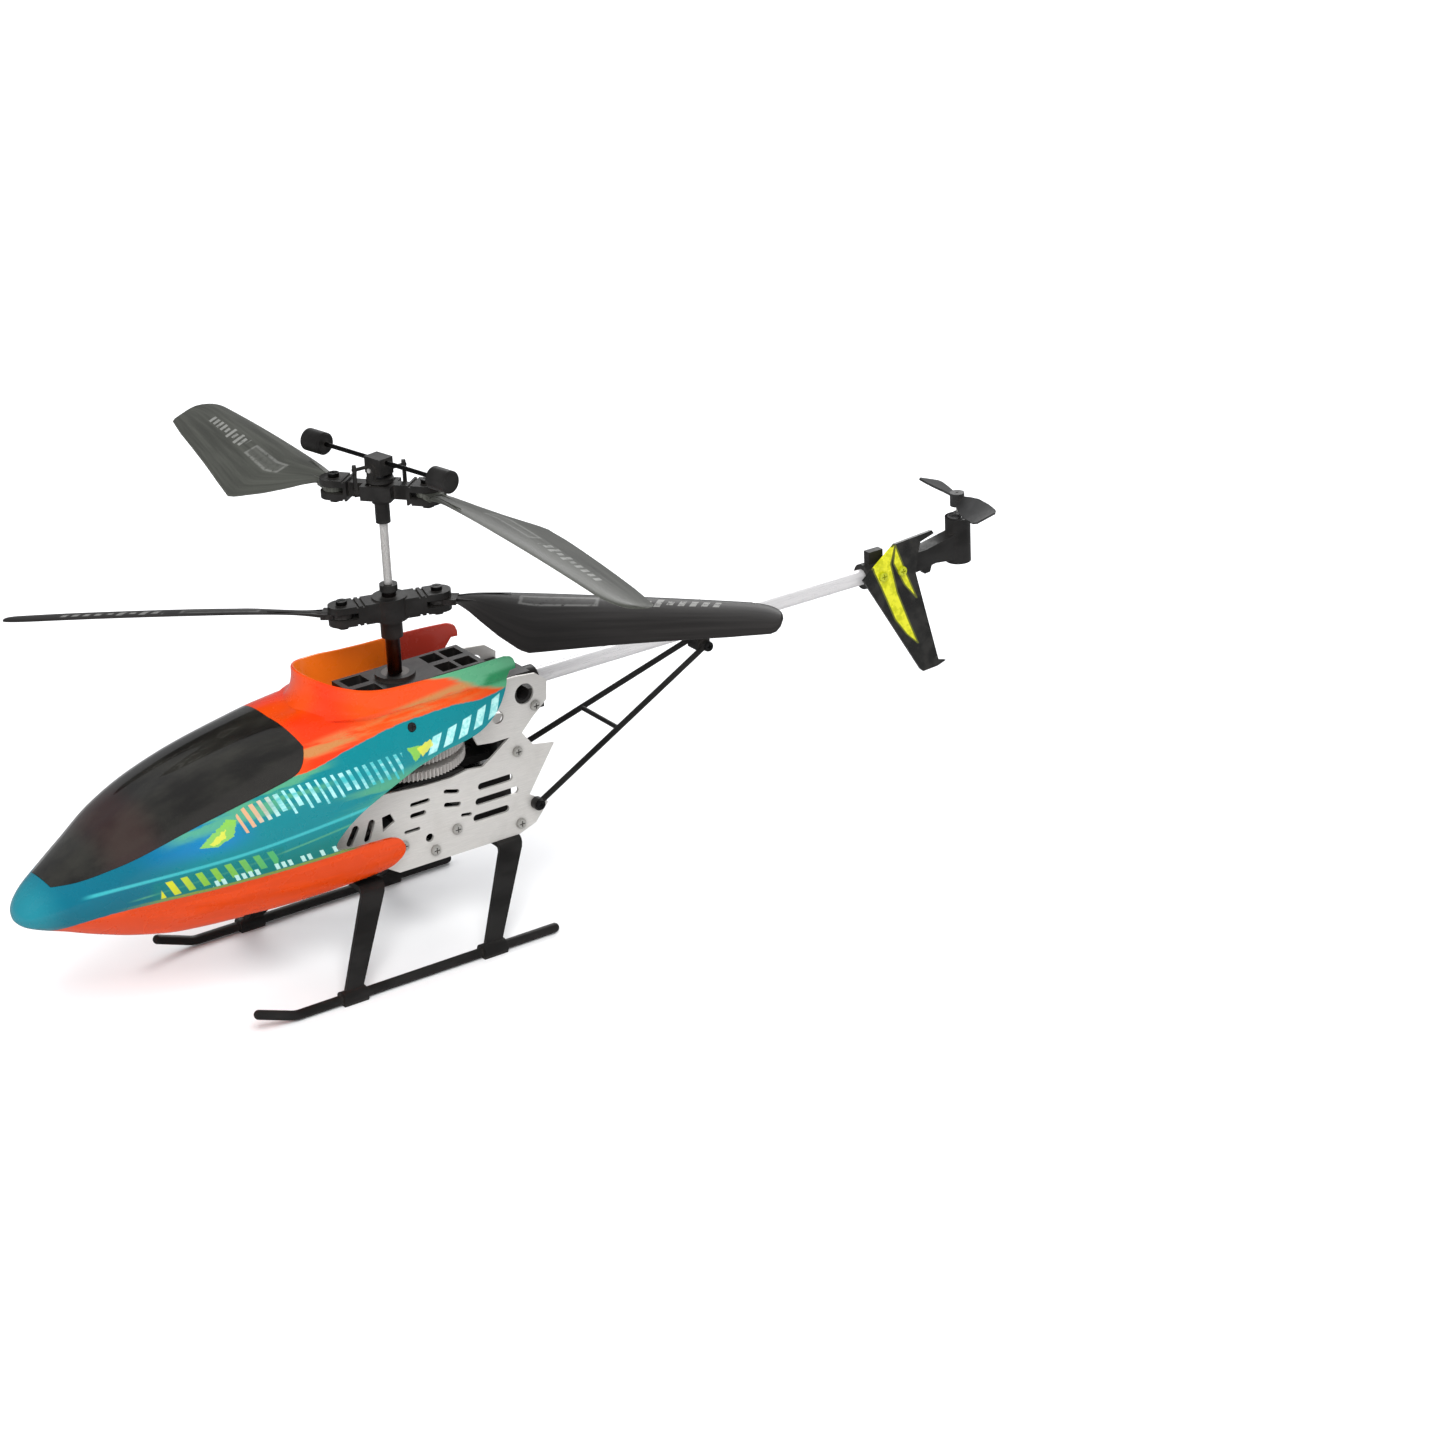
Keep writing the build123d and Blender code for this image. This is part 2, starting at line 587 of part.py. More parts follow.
def upper_blade_grip():
    """The feathering frame round the head's core, with both blade forks and link horns."""
    z = UPPER_ROTOR_Z
    frame = Pos(0, 0, z) * Box(11.2, 11.4, 5.2) - Pos(0, 0, z) * Box(8.4, 8.8, 8)
    for turn in (0, 180):
        neck = block(4.4, 12.0, -2.1, 2.1, z - 2.6, z + 2.6)
        frame += Rot(0, 0, turn) * (fork_arm(z, 11.0, 22.0, 4.6, 3.6) + neck)
    grip = at_azimuth(frame, UPPER_GRIP_AZIMUTH)
    for turn in (0, 180):
        grip += horn(z, polar(5.6, LINK_AZIMUTH, z), turn)
    bore = rod(polar(-7, UPPER_GRIP_AZIMUTH, z), polar(7, UPPER_GRIP_AZIMUTH, z), FEATHER_PIN_R + RUNNING)
    return grip - bore


def flybar_seat():
    """The rocking block that clamps the flybar, with a horn for each link."""
    block_half = 3.0
    body = Pos(0, 0, 176.6) * Box(8.0, 2 * block_half, 6.0)
    body = at_azimuth(body, FLYBAR_AZIMUTH)
    pivot = FLYBAR_PIVOT_Z
    for turn in (0, 180):
        body += horn(pivot, polar(3.35, FLYBAR_AZIMUTH + 17.4, pivot), turn)
    pin_azimuth = FLYBAR_AZIMUTH - 90
    body -= rod(polar(-5, pin_azimuth, pivot), polar(5, pin_azimuth, pivot), TEETER_PIN_R + RUNNING)
    end = FLYBAR_HALF_LENGTH
    return body - rod(polar(-end, FLYBAR_AZIMUTH, FLYBAR_Z), polar(end, FLYBAR_AZIMUTH, FLYBAR_Z), 0.8)


def flybar_rod():
    """The wire of the flybar."""
    end = FLYBAR_HALF_LENGTH - 1.5
    return rod(polar(-end, FLYBAR_AZIMUTH, FLYBAR_Z), polar(end, FLYBAR_AZIMUTH, FLYBAR_Z), 0.8)


def flybar_weights():
    """The two weights at the ends of the flybar."""
    weights = []
    for side in (1, -1):
        inner, outer = side * (FLYBAR_HALF_LENGTH - 9.5), side * FLYBAR_HALF_LENGTH
        weight = rod(polar(inner, FLYBAR_AZIMUTH, FLYBAR_Z), polar(outer, FLYBAR_AZIMUTH, FLYBAR_Z), 4.0)
        weight = chamfer(weight.edges().filter_by(GeomType.CIRCLE), 0.7)
        hole_end = side * (FLYBAR_HALF_LENGTH - 1.5)
        weights.append(weight - rod((0, 0, FLYBAR_Z), polar(hole_end, FLYBAR_AZIMUTH, FLYBAR_Z), 0.8))
    return Compound(weights)


def ball_link(azimuth):
    """A short link with an eye over the ball at each end."""
    plane = Plane(origin=polar(LINK_R, azimuth, 0), x_dir=(0, 0, 1), z_dir=polar(1, azimuth))
    low, high = UPPER_ROTOR_Z, FLYBAR_PIVOT_Z
    strap = Pos((low + high) / 2, 0) * Rectangle(high - low, 2.0)
    outline = strap + Pos(low, 0) * Circle(LINK_EYE_R) + Pos(high, 0) * Circle(LINK_EYE_R)
    outline -= Pos(low, 0) * Circle(BALL_R + 0.3) + Pos(high, 0) * Circle(BALL_R + 0.3)
    return extrude(plane * outline, amount=0.6, both=True)


# ---------------------------------------------------------------- tail


BOOM_SUPPORT_FOOT = (-43.5, 42.2)


def boom_tube():
    """The bright aluminium tail boom."""
    tube = rod((BOOM_FRONT_X, 0, BOOM_Z), (BOOM_REAR_X, 0, BOOM_Z), BOOM_R)
    return tube - rod((BOOM_FRONT_X + 1, 0, BOOM_Z), (BOOM_REAR_X - 1, 0, BOOM_Z), BOOM_R - 0.5)


def boom_holder():
    """The block between the plates' ears that grips the front of the boom."""
    body = block(-50.0, -35.0, -PLATE_INNER_Y, PLATE_INNER_Y, 77.5, 88.5)
    body -= block(-51, -34, -20, -8, 86.0, 90)
    body -= block(-51, -34, 8, 20, 86.0, 90)
    body += rod((-50, 0, BOOM_Z), (-56, 0, BOOM_Z), 4.6)
    body -= rod((-34, 0, BOOM_Z), (-57, 0, BOOM_Z), BOOM_R)
    body -= side_hole(*EAR_HOLE, 2.6, 8, 20) + side_hole(*EAR_HOLE, 2.6, -20, -8)
    return body - side_hole(*HOLDER_SCREW, SCREW_R, -20, -6) - side_hole(*HOLDER_SCREW, SCREW_R, 6, 20)


SUPPORT_Y = 19.0
SUPPORT_TOP = (BOOM_CLAMP_X, 4.6, 76.0)


def boom_supports():
    """The black A-frame: two rods from the plates to the boom clamp, with one cross-bar."""
    x, z = BOOM_SUPPORT_FOOT
    foot, top = Vector(x, SUPPORT_Y, z), Vector(*SUPPORT_TOP)
    half = rod(foot, top, 1.1)
    half += side_hole(x, z, 2.3, PLATE_OUTER_Y, SUPPORT_Y + 1.1)
    half += side_hole(top.X, top.Z, 2.0, top.Y - 1.1, top.Y + 1.5)
    half -= side_hole(top.X, top.Z, SCREW_HEAD_R + 0.2, top.Y + 1.5, top.Y + 4)
    half -= side_hole(x, z, SCREW_R + RUNNING, 10, 25)
    half -= side_hole(top.X, top.Z, SCREW_R + RUNNING, 0, 10)
    middle = foot + (top - foot) * 0.47
    bar = rod((middle.X, -middle.Y, middle.Z), (middle.X, middle.Y, middle.Z), 0.9)
    return half + mirrored(half) + bar


def support_screws():
    """The screws at both ends of the boom supports."""
    x, z = BOOM_SUPPORT_FOOT
    screws = [cap_screw(x, z, SUPPORT_Y + 1.1, 4.2, side) for side in (1, -1)]
    x, y, z = SUPPORT_TOP
    screws += [cap_screw(x, z, y + 1.5, 4.0, side) for side in (1, -1)]
    return screws


def boom_clamp():
    """The collar on the boom that the supports are screwed to."""
    x = BOOM_CLAMP_X
    collar = rod((x - 3.5, 0, BOOM_Z), (x + 3.5, 0, BOOM_Z), 4.7)
    collar += block(x - 2.6, x + 2.6, -3.5, 3.5, 73.8, BOOM_Z)
    collar += block(x - 2.0, x + 2.0, -1.0, 1.0, BOOM_Z, 92.0)
    collar -= side_hole(SUPPORT_TOP[0], SUPPORT_TOP[2], SCREW_R, -5, 5)
    return collar - rod((x - 5, 0, BOOM_Z), (x + 5, 0, BOOM_Z), BOOM_R)


FIN_Y = (4.9, 6.1)
FIN_OUTLINE = [
    (-199.5, 83.0), (-214.5, 94.0), (-232.0, 95.2), (-233.0, 93.8), (-226.5, 92.0), (-225.0, 86.0),
    (-224.0, 80.0), (-234.0, 41.5), (-237.5, 40.5), (-233.5, 39.2), (-226.5, 38.8), (-225.3, 40.0),
]
FIN_SCREW_X = (-208.5, -217.5)


def tail_fin():
    """The swept vertical fin on the left of the boom."""
    fin = side_panel(FIN_OUTLINE, *FIN_Y)
    for x in FIN_SCREW_X:
        fin -= side_hole(x, BOOM_Z + 0.5, SCREW_R + RUNNING, 0, 10)
    return fin


def fin_screws():
    """The two screws that hold the fin to the tail mount."""
    return [cap_screw(x, BOOM_Z + 0.5, FIN_Y[1], 2.6, 1) for x in FIN_SCREW_X]


TAIL_MOTOR_R = 3.9


def tail_motor_mount():
    """The black bracket on the end of the boom, with a cup for the tail motor."""
    body = rod((-203, 0, BOOM_Z), (-224, 0, BOOM_Z), 4.9)
    body += block(-221, -205, 0, FIN_Y[0], BOOM_Z - 3.2, BOOM_Z + 3.6)
    body += block(-212, -205.5, -1.6, 1.6, BOOM_Z, 91.5)
    body += side_panel([(-222, 78), (-222, 86.5), (-231, 86.5), (-246, 89.3), (-246, 78.8), (-236, 80)], -3.2, 3.2)
    body += side_panel([(-229, 79.5), (-236, 80.5), (-234.5, 76.2), (-232, 76)], -1.2, 1.2)
    body += upright(TAIL_AXIS_X, 0, 77.0, 95.0, TAIL_MOTOR_R + 1.0)
    body -= upright(TAIL_AXIS_X, 0, 78.5, 96.0, TAIL_MOTOR_R)
    body -= upright(TAIL_AXIS_X, 0, 76.0, 79.0, 1.6)
    for x in FIN_SCREW_X:
        body -= side_hole(x, BOOM_Z + 0.5, SCREW_R, 3.4, 6)
    return body - rod((-202, 0, BOOM_Z), (BOOM_REAR_X, 0, BOOM_Z), BOOM_R)


def tail_motor():
    """The small can motor that turns the tail rotor."""
    can = upright(TAIL_AXIS_X, 0, 78.5, 95.6, TAIL_MOTOR_R)
    can = chamfer(can.edges().filter_by(GeomType.CIRCLE).sort_by(Axis.Z)[-1], 0.5)
    can += upright(TAIL_AXIS_X, 0, 95.6, 96.8, 1.5)
    for side in (-1, 1):
        can -= Pos(TAIL_AXIS_X, side * 2.5, 95.6) * Box(2.4, 0.9, 2.4)
    return can - upright(TAIL_AXIS_X, 0, 76, 98, 0.5 + RUNNING)


def tail_shaft():
    """The tail motor's steel shaft."""
    return upright(TAIL_AXIS_X, 0, 79.5, TAIL_ROTOR_Z + 2.0, 0.5)


TAIL_BLADE_AZIMUTH = 79.0
# Tail blade stations: radius, chord, pitch.
TAIL_STATIONS = [
    (2.2, 4.0, 34), (6, 7.0, 30), (10, 9.6, 26), (17, 10.8, 22), (22.4, 10.4, 19), (TAIL_ROTOR_R, 8.0, 18),
]


def tail_rotor():
    """The two-bladed tail propeller."""
    z = TAIL_ROTOR_Z
    prop = upright(0, 0, -2.6, 2.6, 2.8)
    wires = []
    for r, chord, pitch in TAIL_STATIONS:
        plane = Plane(origin=(r, 0, 0), x_dir=(0, cos(radians(pitch)), sin(radians(pitch))), z_dir=(1, 0, 0))
        wires.append((plane * Rectangle(chord, 0.8)).wire())
    blade = skinned(wires, ruled=True)
    prop += blade + Rot(0, 0, 180) * blade
    prop -= upright(0, 0, -4, 4.0, 0.5)
    return Pos(TAIL_AXIS_X, 0, z) * Rot(0, 0, TAIL_BLADE_AZIMUTH) * prop


def tail_wires():
    """The pair of thin wires that run through the boom to the tail motor."""
    wires = []
    for y in (-0.8, 0.8):
        wires.append(rod((BOOM_FRONT_X + 3.5, y, BOOM_Z), (BOOM_REAR_X + 1, y, BOOM_Z), 0.55))
    return Compound(wires)


# ---------------------------------------------------------------- landing gear


def strut_profile(top_x, foot_x):
    """Centre points, widths and in-plane normals down one landing leg."""
    top_z, shoulder_y = FRAME_BOTTOM_Z - 1.3, 16.5
    knee_r = 5.0
    foot = (SKID_HALF_TRACK, SKID_Z + 1.5)
    steps = [(0.0, top_z), (8.0, top_z), (shoulder_y, top_z)]
    lean = atan2(top_z - knee_r - foot[1], foot[0] - shoulder_y - knee_r)
    for i in range(1, 5):
        turn = lean * i / 4
        steps.append((shoulder_y + knee_r * sin(turn), top_z - knee_r * (1 - cos(turn))))
    steps.append(foot)
    drop = top_z - foot[1]
    stations = []
    for i, (y, z) in enumerate(steps):
        before, after = steps[max(0, i - 1)], steps[min(len(steps) - 1, i + 1)]
        dy, dz = after[0] - before[0], after[1] - before[1]
        if i == len(steps) - 1:
            dy, dz = y - before[0], z - before[1]
        size = sqrt(dy * dy + dz * dz)
        down = (top_z - z) / drop
        x = top_x + (foot_x - top_x) * down
        stations.append((x, y, z, 9.6 - 2.6 * down, (-dz / size, dy / size)))
    return stations


def landing_strut(top_x, foot_x):
    """A springy black cross-strut with a leg and a skid socket on each side."""
    thickness = 2.2
    wires = []
    for x, y, z, width, (ny, nz) in strut_profile(top_x, foot_x):
        corners = []
        for across, out in ((-1, -1), (1, -1), (1, 1), (-1, 1)):
            corners.append(
                (x + across * width / 2, y + out * ny * thickness / 2, z + out * nz * thickness / 2)
            )
        wires.append(Polyline(corners, close=True).wire())
    leg = skinned(wires, ruled=True)
    socket = rod((foot_x - 4.8, SKID_HALF_TRACK, SKID_Z), (foot_x + 4.8, SKID_HALF_TRACK, SKID_Z), 2.9)
    pad_y = SKID_HALF_TRACK
    socket += block(foot_x - 4.8, foot_x + 4.8, pad_y - 2.4, pad_y + 2.4, 0, SKID_Z)
    socket -= block(foot_x - 10, foot_x + 10, pad_y - 5, pad_y + 5, -3, 0)
    leg += socket
    leg -= rod((foot_x - 10, pad_y, SKID_Z), (foot_x + 10, pad_y, SKID_Z), SKID_R)
    leg -= upright(top_x, STRUT_SCREW_Y, FRAME_BOTTOM_Z - 5, FRAME_BOTTOM_Z + 1, SCREW_R + RUNNING)
    return leg + mirrored(leg)


def skid():
    """The left skid: a tube with its front end turned up."""
    y = SKID_HALF_TRACK
    path = Polyline((SKID_REAR_X, y, SKID_Z), (SKID_BEND_X, y, SKID_Z), (SKID_TIP_X, y, SKID_Z + 5.0))
    path = fillet(path.vertices().sort_by(Axis.X)[1], 9)
    tube = sweep(Plane(origin=path @ 0, z_dir=path % 0) * Circle(SKID_R), path=path)
    for end in (path @ 0, path @ 1):
        tube += Pos(end) * Sphere(SKID_R)
    return tube


def strut_screws():
    """The screws that hold the landing struts to the foot of the frame."""
    screws = []
    for x in STRUT_TOP_X:
        for y in (-STRUT_SCREW_Y, STRUT_SCREW_Y):
            head = upright(x, y, FRAME_BOTTOM_Z - 3.5, FRAME_BOTTOM_Z - 2.4, 1.9)
            screws.append(head + upright(x, y, FRAME_BOTTOM_Z - 2.4, FRAME_BOTTOM_Z + 2.2, SCREW_R))
    return screws


def strut_bases():
    """Two cross-blocks between the plates that the landing struts screw into."""
    front = block(19, 33, -PLATE_INNER_Y + 3, PLATE_INNER_Y - 3, FRAME_BOTTOM_Z - 0.2, FRAME_BOTTOM_Z + 2.4)
    front += block(19, 33, -PLATE_INNER_Y, PLATE_INNER_Y, 39.6, 41.2)
    for y in (-STRUT_SCREW_Y, STRUT_SCREW_Y):
        front += upright(26, y, FRAME_BOTTOM_Z, 40, 2.6)
    rear = block(-35, -24, -PLATE_INNER_Y, PLATE_INNER_Y, FRAME_BOTTOM_Z - 0.2, FRAME_BOTTOM_Z + 3.4)
    rear -= side_hole(-36.6, 36.0, SPACER_R + 0.1, -20, 20)
    bases = []
    for part, x in ((front, STRUT_TOP_X[0]), (rear, STRUT_TOP_X[1])):
        for y in (-STRUT_SCREW_Y, STRUT_SCREW_Y):
            part -= upright(x, y, FRAME_BOTTOM_Z - 1, FRAME_BOTTOM_Z + 2.2, SCREW_R)
        bases.append(part)
    return Compound(bases)


# ---------------------------------------------------------------- canopy

# Stations along the canopy. Each row is x, top z, shoulder y and z, waist y and z,
# chine y and z, keel y and z. The points join into a faceted, rounded section.
CANOPY_STATIONS = [
    (153.0, 54.0, 2.2, 53.4, 3.2, 51.4, 2.6, 50.2, 1.6, 49.6),
    (151.0, 56.6, 4.6, 55.6, 6.6, 52.4, 5.4, 49.8, 3.0, 48.6),
    (146.5, 60.4, 7.0, 59.0, 10.8, 53.8, 9.2, 49.2, 5.2, 47.0),
    (139.0, 65.6, 9.8, 62.8, 15.0, 56.2, 13.2, 49.4, 7.8, 45.0),
    (128.0, 72.0, 13.0, 68.8, 19.4, 59.0, 17.4, 49.8, 10.4, 41.4),
    (114.0, 80.0, 17.2, 76.2, 23.2, 61.2, 20.8, 50.4, 12.6, 37.4),
    (98.0, 86.2, 20.0, 82.2, 25.8, 62.6, 22.8, 50.4, 14.6, 34.6),
    (80.0, 91.0, 20.9, 87.4, 27.4, 63.4, 24.0, 49.8, 16.4, 33.8),
    (62.0, 94.8, 21.4, 91.0, 28.2, 64.2, 24.8, 49.2, 18.0, 33.6),
    (46.0, 97.0, 22.2, 93.4, 28.4, 65.2, 25.2, 49.2, 19.2, 34.0),
    (28.0, 97.8, 23.2, 94.6, 28.2, 66.4, 25.2, 49.6, 20.0, 35.0),
    (8.0, 97.8, 23.4, 95.0, 27.4, 68.4, 24.8, 50.4, 20.2, 37.0),
    (-14.0, 97.6, 22.8, 95.4, 25.4, 70.6, 23.4, 52.0, 20.0, 40.0),
    (-38.0, 96.8, 20.6, 95.2, 22.4, 72.6, 20.8, 54.0, 18.6, 43.0),
    (-60.0, 95.8, 14.8, 94.6, 17.0, 74.0, 15.8, 56.0, 14.0, 46.0),
]


def inset(points, depth):
    """Moves the points of an open half-section inwards by a depth along their normals."""
    moved = []
    for i, (y, z) in enumerate(points):
        before = points[i - 1] if i else (-points[1][0], points[1][1])
        after = points[i + 1] if i + 1 < len(points) else (-y, z)
        dy, dz = after[0] - before[0], after[1] - before[1]
        size = sqrt(dy * dy + dz * dz)
        moved.append((y + depth * dz / size, z - depth * dy / size))
    return moved


def canopy_section(station, depth, x_shift=0.0):
    """One closed cross-section of the canopy, a depth inside its skin."""
    x, top, *rest = station
    pairs = list(zip(rest[0::2], rest[1::2]))
    points = [(0.0, top), *pairs]
    if depth:
        points = inset(points, depth)
    top_point, shoulder, waist, chine, keel = points
    bulge = 0.06

    def between(a, b):
        """A point just outside the middle of the side from a to b."""
        dy, dz = b[0] - a[0], b[1] - a[1]
        return ((a[0] + b[0]) / 2 - bulge * dz, (a[1] + b[1]) / 2 + bulge * dy)

    def at(point, side):
        return (x + x_shift, side * point[0], point[1])

    def side_arc(a, b, side):
        middle = between(a, b)
        ends = [at(a, side), at(middle, side), at(b, side)]
        return ThreePointArc(*(ends if side > 0 else reversed(ends)))

    edges = [ThreePointArc(at(shoulder, -1), at(top_point, 1), at(shoulder, 1))]
    edges += [side_arc(shoulder, waist, 1), side_arc(waist, chine, 1), side_arc(chine, keel, 1)]
    edges += [Line(at(keel, 1), at(keel, -1))]
    edges += [side_arc(chine, keel, -1), side_arc(waist, chine, -1), side_arc(shoulder, waist, -1)]
    return Wire(edges)


def canopy_solid(depth):
    """The canopy's outer form, or the same form a depth inside it, as a solid."""
    stations = CANOPY_STATIONS if not depth else CANOPY_STATIONS[1:]
    wires = []
    for i, station in enumerate(stations):
        shift = -depth if depth and i == 0 else 0.0
        wires.append(canopy_section(station, depth, shift))
    if depth:
        last = list(CANOPY_STATIONS[-1])
        last[0] -= 5
        wires.append(canopy_section(last, depth))
    return skinned(wires)


# Side view of the glass: lower edge from the front, then the rear edge up to the roof.
GLASS_OUTLINE = [
    (146.0, 72.0), (141.5, 62.6), (133.0, 64.6), (118.0, 69.2), (98.0, 75.6), (80.0, 79.8),
    (66.0, 82.6), (54.5, 86.2), (50.0, 92.5), (51.5, 97.0), (51.5, 110.0), (120.0, 110.0),
]
# Side view of the opening behind the doors, where the frame and the gears show.
SIDE_OPENING = [
    (-70, 20), (14, 20), (24.0, 33.6), (18.0, 37.6), (14.6, 41.5), (15.0, 46.0), (20.0, 50.0),
    (38.0, 51.0), (43.0, 54.0), (40.5, 59.0), (34.0, 64.0), (25.0, 68.6), (17.0, 72.2),
    (9.2, 75.3), (4.1, 76.6), (-1.0, 77.8), (-9.2, 78.7), (-15.0, 79.6), (-19.0, 81.0),
    (-23.5, 83.8), (-27.0, 87.0), (-29.9, 90.6), (-32.6, 94.6), (-34.4, 97.0), (-70, 97.0),
]
CANOPY_PEG = (9.5, 89.5)
PEG_END_Y = 23.3            # where the post stops, just inside the canopy
PEG_SEAT_Y = 25.2           # the flat seat for the screw's head, in the canopy's skin


def hood_plan(inset_by):
    """The plan of the intake collar: a round front and sides that draw in towards the tail."""
    radius, x = HOOD_R - inset_by, HOOD_CENTRE_X
    side = [(x, radius), (-12, radius - 0.1), (-38, radius - 2.2), (-49, radius - 4.8), (HOOD_REAR_X, radius - 8.0)]
    left = Spline(side, tangents=((-1, 0), (-1, -0.36)))
    right = Spline([(px, -py) for px, py in side], tangents=((-1, 0), (-1, 0.36)))
    front = ThreePointArc((x, -radius), (x + radius, 0), (x, radius))
    back = Line(left @ 1, right @ 1)
    return make_face(Curve() + [front, left, back, right])


def hood_side_view():
    """The collar's lip from the side: high in front, then level to its two rounded rear tips."""
    lip_points = [(38.6, 109.8), (33.0, 107.6), (24.0, 105.3), (12.0, 103.9), (-2.0, 103.3)]
    lip = Spline(lip_points, tangents=((-1, -0.2), (-1, -0.02)))
    fall = Spline([(-2.0, 103.3), (-18.0, 103.2), (-33.0, 102.6)], tangents=((-1, -0.02), (-1, -0.12)))
    tip = ThreePointArc((-33.0, 102.6), (-37.2, 100.6), (-36.0, 96.8))
    close = Polyline((-36.0, 96.8), (-36.0, 84.0), (38.6, 84.0), (38.6, 109.8))
    flat = make_face(Curve() + [lip, fall, tip, close])
    upright_face = Plane(origin=(0, -40, 0), x_dir=(1, 0, 0), z_dir=(0, -1, 0)) * flat
    return extrude(upright_face, amount=80, dir=(0, 1, 0))


def canopy_parts():
    """The painted canopy and the dark glass, cut from one thin shell."""
    outer = canopy_solid(0)
    shell = outer - canopy_solid(CANOPY_WALL)
    hatch = extrude(Pos(0, 0, 80) * hood_plan(CANOPY_WALL), amount=60)
    collar = extrude(Pos(0, 0, 80) * hood_plan(0), amount=60) - hatch
    shell = (shell - hatch) + (collar & hood_side_view())
    shell -= side_panel(SIDE_OPENING, -40, 40)
    shell -= block(-70, -37.6, -30, 30, 80, 120)
    shell -= block(-60, 76, -17.6, 17.6, 20, 60)
    glass_cutter = side_panel(GLASS_OUTLINE, -40, 40)
    glass = shell & glass_cutter
    shell -= glass_cutter
    for side in (-1, 1):
        shell -= side_hole(*CANOPY_PEG, 2.3, side * 17, side * (PEG_END_Y + 0.05))
        shell -= side_hole(*CANOPY_PEG, 1.0, side * 18, side * 40)
        shell -= side_hole(*CANOPY_PEG, 1.6, side * PEG_SEAT_Y, side * 40)
    return shell, glass


def canopy_pegs():
    """The two posts that stand out of the plates, with the canopy's screws in their ends."""
    x, z = CANOPY_PEG
    pegs = []
    for side in (-1, 1):
        post = side_hole(x, z, 2.2, side * PLATE_OUTER_Y, side * PEG_END_Y)
        post += side_hole(x, z, 0.9, side * (PEG_END_Y - 1), side * (PEG_SEAT_Y + 0.1))
        post += side_hole(x, z, 1.5, side * (PEG_SEAT_Y + 0.05), side * (PEG_SEAT_Y + 1.0))
        cross = Box(2.0, 0.9, 0.4) + Box(0.4, 0.9, 2.0)
        pegs.append(post - Pos(x, side * (PEG_SEAT_Y + 0.9), z) * cross)
    return Compound(pegs)


# ---------------------------------------------------------------- all sub-parts


def build_parts():
    """Every sub-part by node name."""
    left_plate = side_plate()
    left_skid = skid()
    canopy, glass = canopy_parts()
    z_low, z_up = LOWER_ROTOR_Z, UPPER_ROTOR_Z
    low, up = LOWER_GRIP_AZIMUTH, UPPER_GRIP_AZIMUTH
    z_gear_1, z_gear_2 = LOWER_GEAR_Z, UPPER_GEAR_Z
    return {
        "left_side_plate": left_plate,
        "right_side_plate": mirrored(left_plate),
        "frame_spacers": frame_spacers(),
        "frame_screws": frame_screws(),
        "lower_bearing_block": lower_bearing_block(),
        "upper_bearing_block": upper_bearing_block(),
        "shaft_bearings": shaft_bearings(),
        "motor_mount": motor_mount(),
        "drive_motors": Compound([motor(MOTOR_X), motor(-MOTOR_X)]),
        "front_motor_shaft": motor_shaft(MOTOR_X, LOWER_GEAR_Z + GEAR_FACE + 1),
        "rear_motor_shaft": motor_shaft(-MOTOR_X, UPPER_GEAR_Z + GEAR_FACE + 1),
        "front_pinion": pinion(MOTOR_X, LOWER_GEAR_Z),
        "rear_pinion": pinion(-MOTOR_X, UPPER_GEAR_Z),
        "lower_main_gear": main_gear(z_gear_1, INNER_SHAFT_R, 4.0, z_gear_1 - 3.0, z_gear_1 + GEAR_FACE),
        "upper_main_gear": main_gear(z_gear_2, OUTER_SHAFT_R, 5.0, z_gear_2, z_gear_2 + GEAR_FACE + 4.0),
        "inner_shaft": inner_shaft(),
        "outer_shaft": outer_shaft(),
        "shaft_collar": shaft_collar(),
        "lower_rotor_hub": lower_rotor_hub(),
        "lower_blade_bolts": blade_bolts(z_low, low),
        "lower_blade_a": placed_blade(z_low, low, LOWER_FOLD[0], LOWER_DROOP, 1),
        "lower_blade_b": placed_blade(z_low, low + 180, LOWER_FOLD[1], LOWER_DROOP, 1),
        "upper_head": upper_head(),
        "head_pins": head_pins(),
        "upper_blade_grip": upper_blade_grip(),
        "upper_blade_bolts": blade_bolts(z_up, up),
        "upper_blade_a": placed_blade(z_up, up, UPPER_FOLD[0], UPPER_DROOP, -1),
        "upper_blade_b": placed_blade(z_up, up + 180, UPPER_FOLD[1], UPPER_DROOP, -1),
        "flybar_seat": flybar_seat(),
        "flybar_rod": flybar_rod(),
        "flybar_weights": flybar_weights(),
        "ball_link_a": ball_link(LINK_AZIMUTH),
        "ball_link_b": ball_link(LINK_AZIMUTH + 180),
        "boom_tube": boom_tube(),
        "boom_holder": boom_holder(),
        "boom_supports": boom_supports(),
        "boom_clamp": boom_clamp(),
        "black_screws": Compound(support_screws() + fin_screws() + strut_screws()),
        "tail_fin": tail_fin(),
        "tail_motor_mount": tail_motor_mount(),
        "tail_motor": tail_motor(),
        "tail_shaft": tail_shaft(),
        "tail_rotor": tail_rotor(),
        "tail_wires": tail_wires(),
        "front_landing_strut": landing_strut(STRUT_TOP_X[0], FOOT_X[0]),
        "rear_landing_strut": landing_strut(STRUT_TOP_X[1], FOOT_X[1]),
        "strut_bases": strut_bases(),
        "landing_skids": Compound([left_skid, mirrored(left_skid)]),
        "battery_tray": battery_tray(),
        "battery_pack": battery_pack(),
        "receiver_board": receiver_board(),
        "board_components": board_components(),
        "nose_light": nose_light(),
        "canopy_shell": canopy,
        "windscreen": glass,
        "canopy_pegs": canopy_pegs(),
        "switch_housing": switch_housing(),
        "switch_slider": switch_slider(),
        "charge_socket": charge_socket(),
        "frame_floor": frame_floor(),
    }


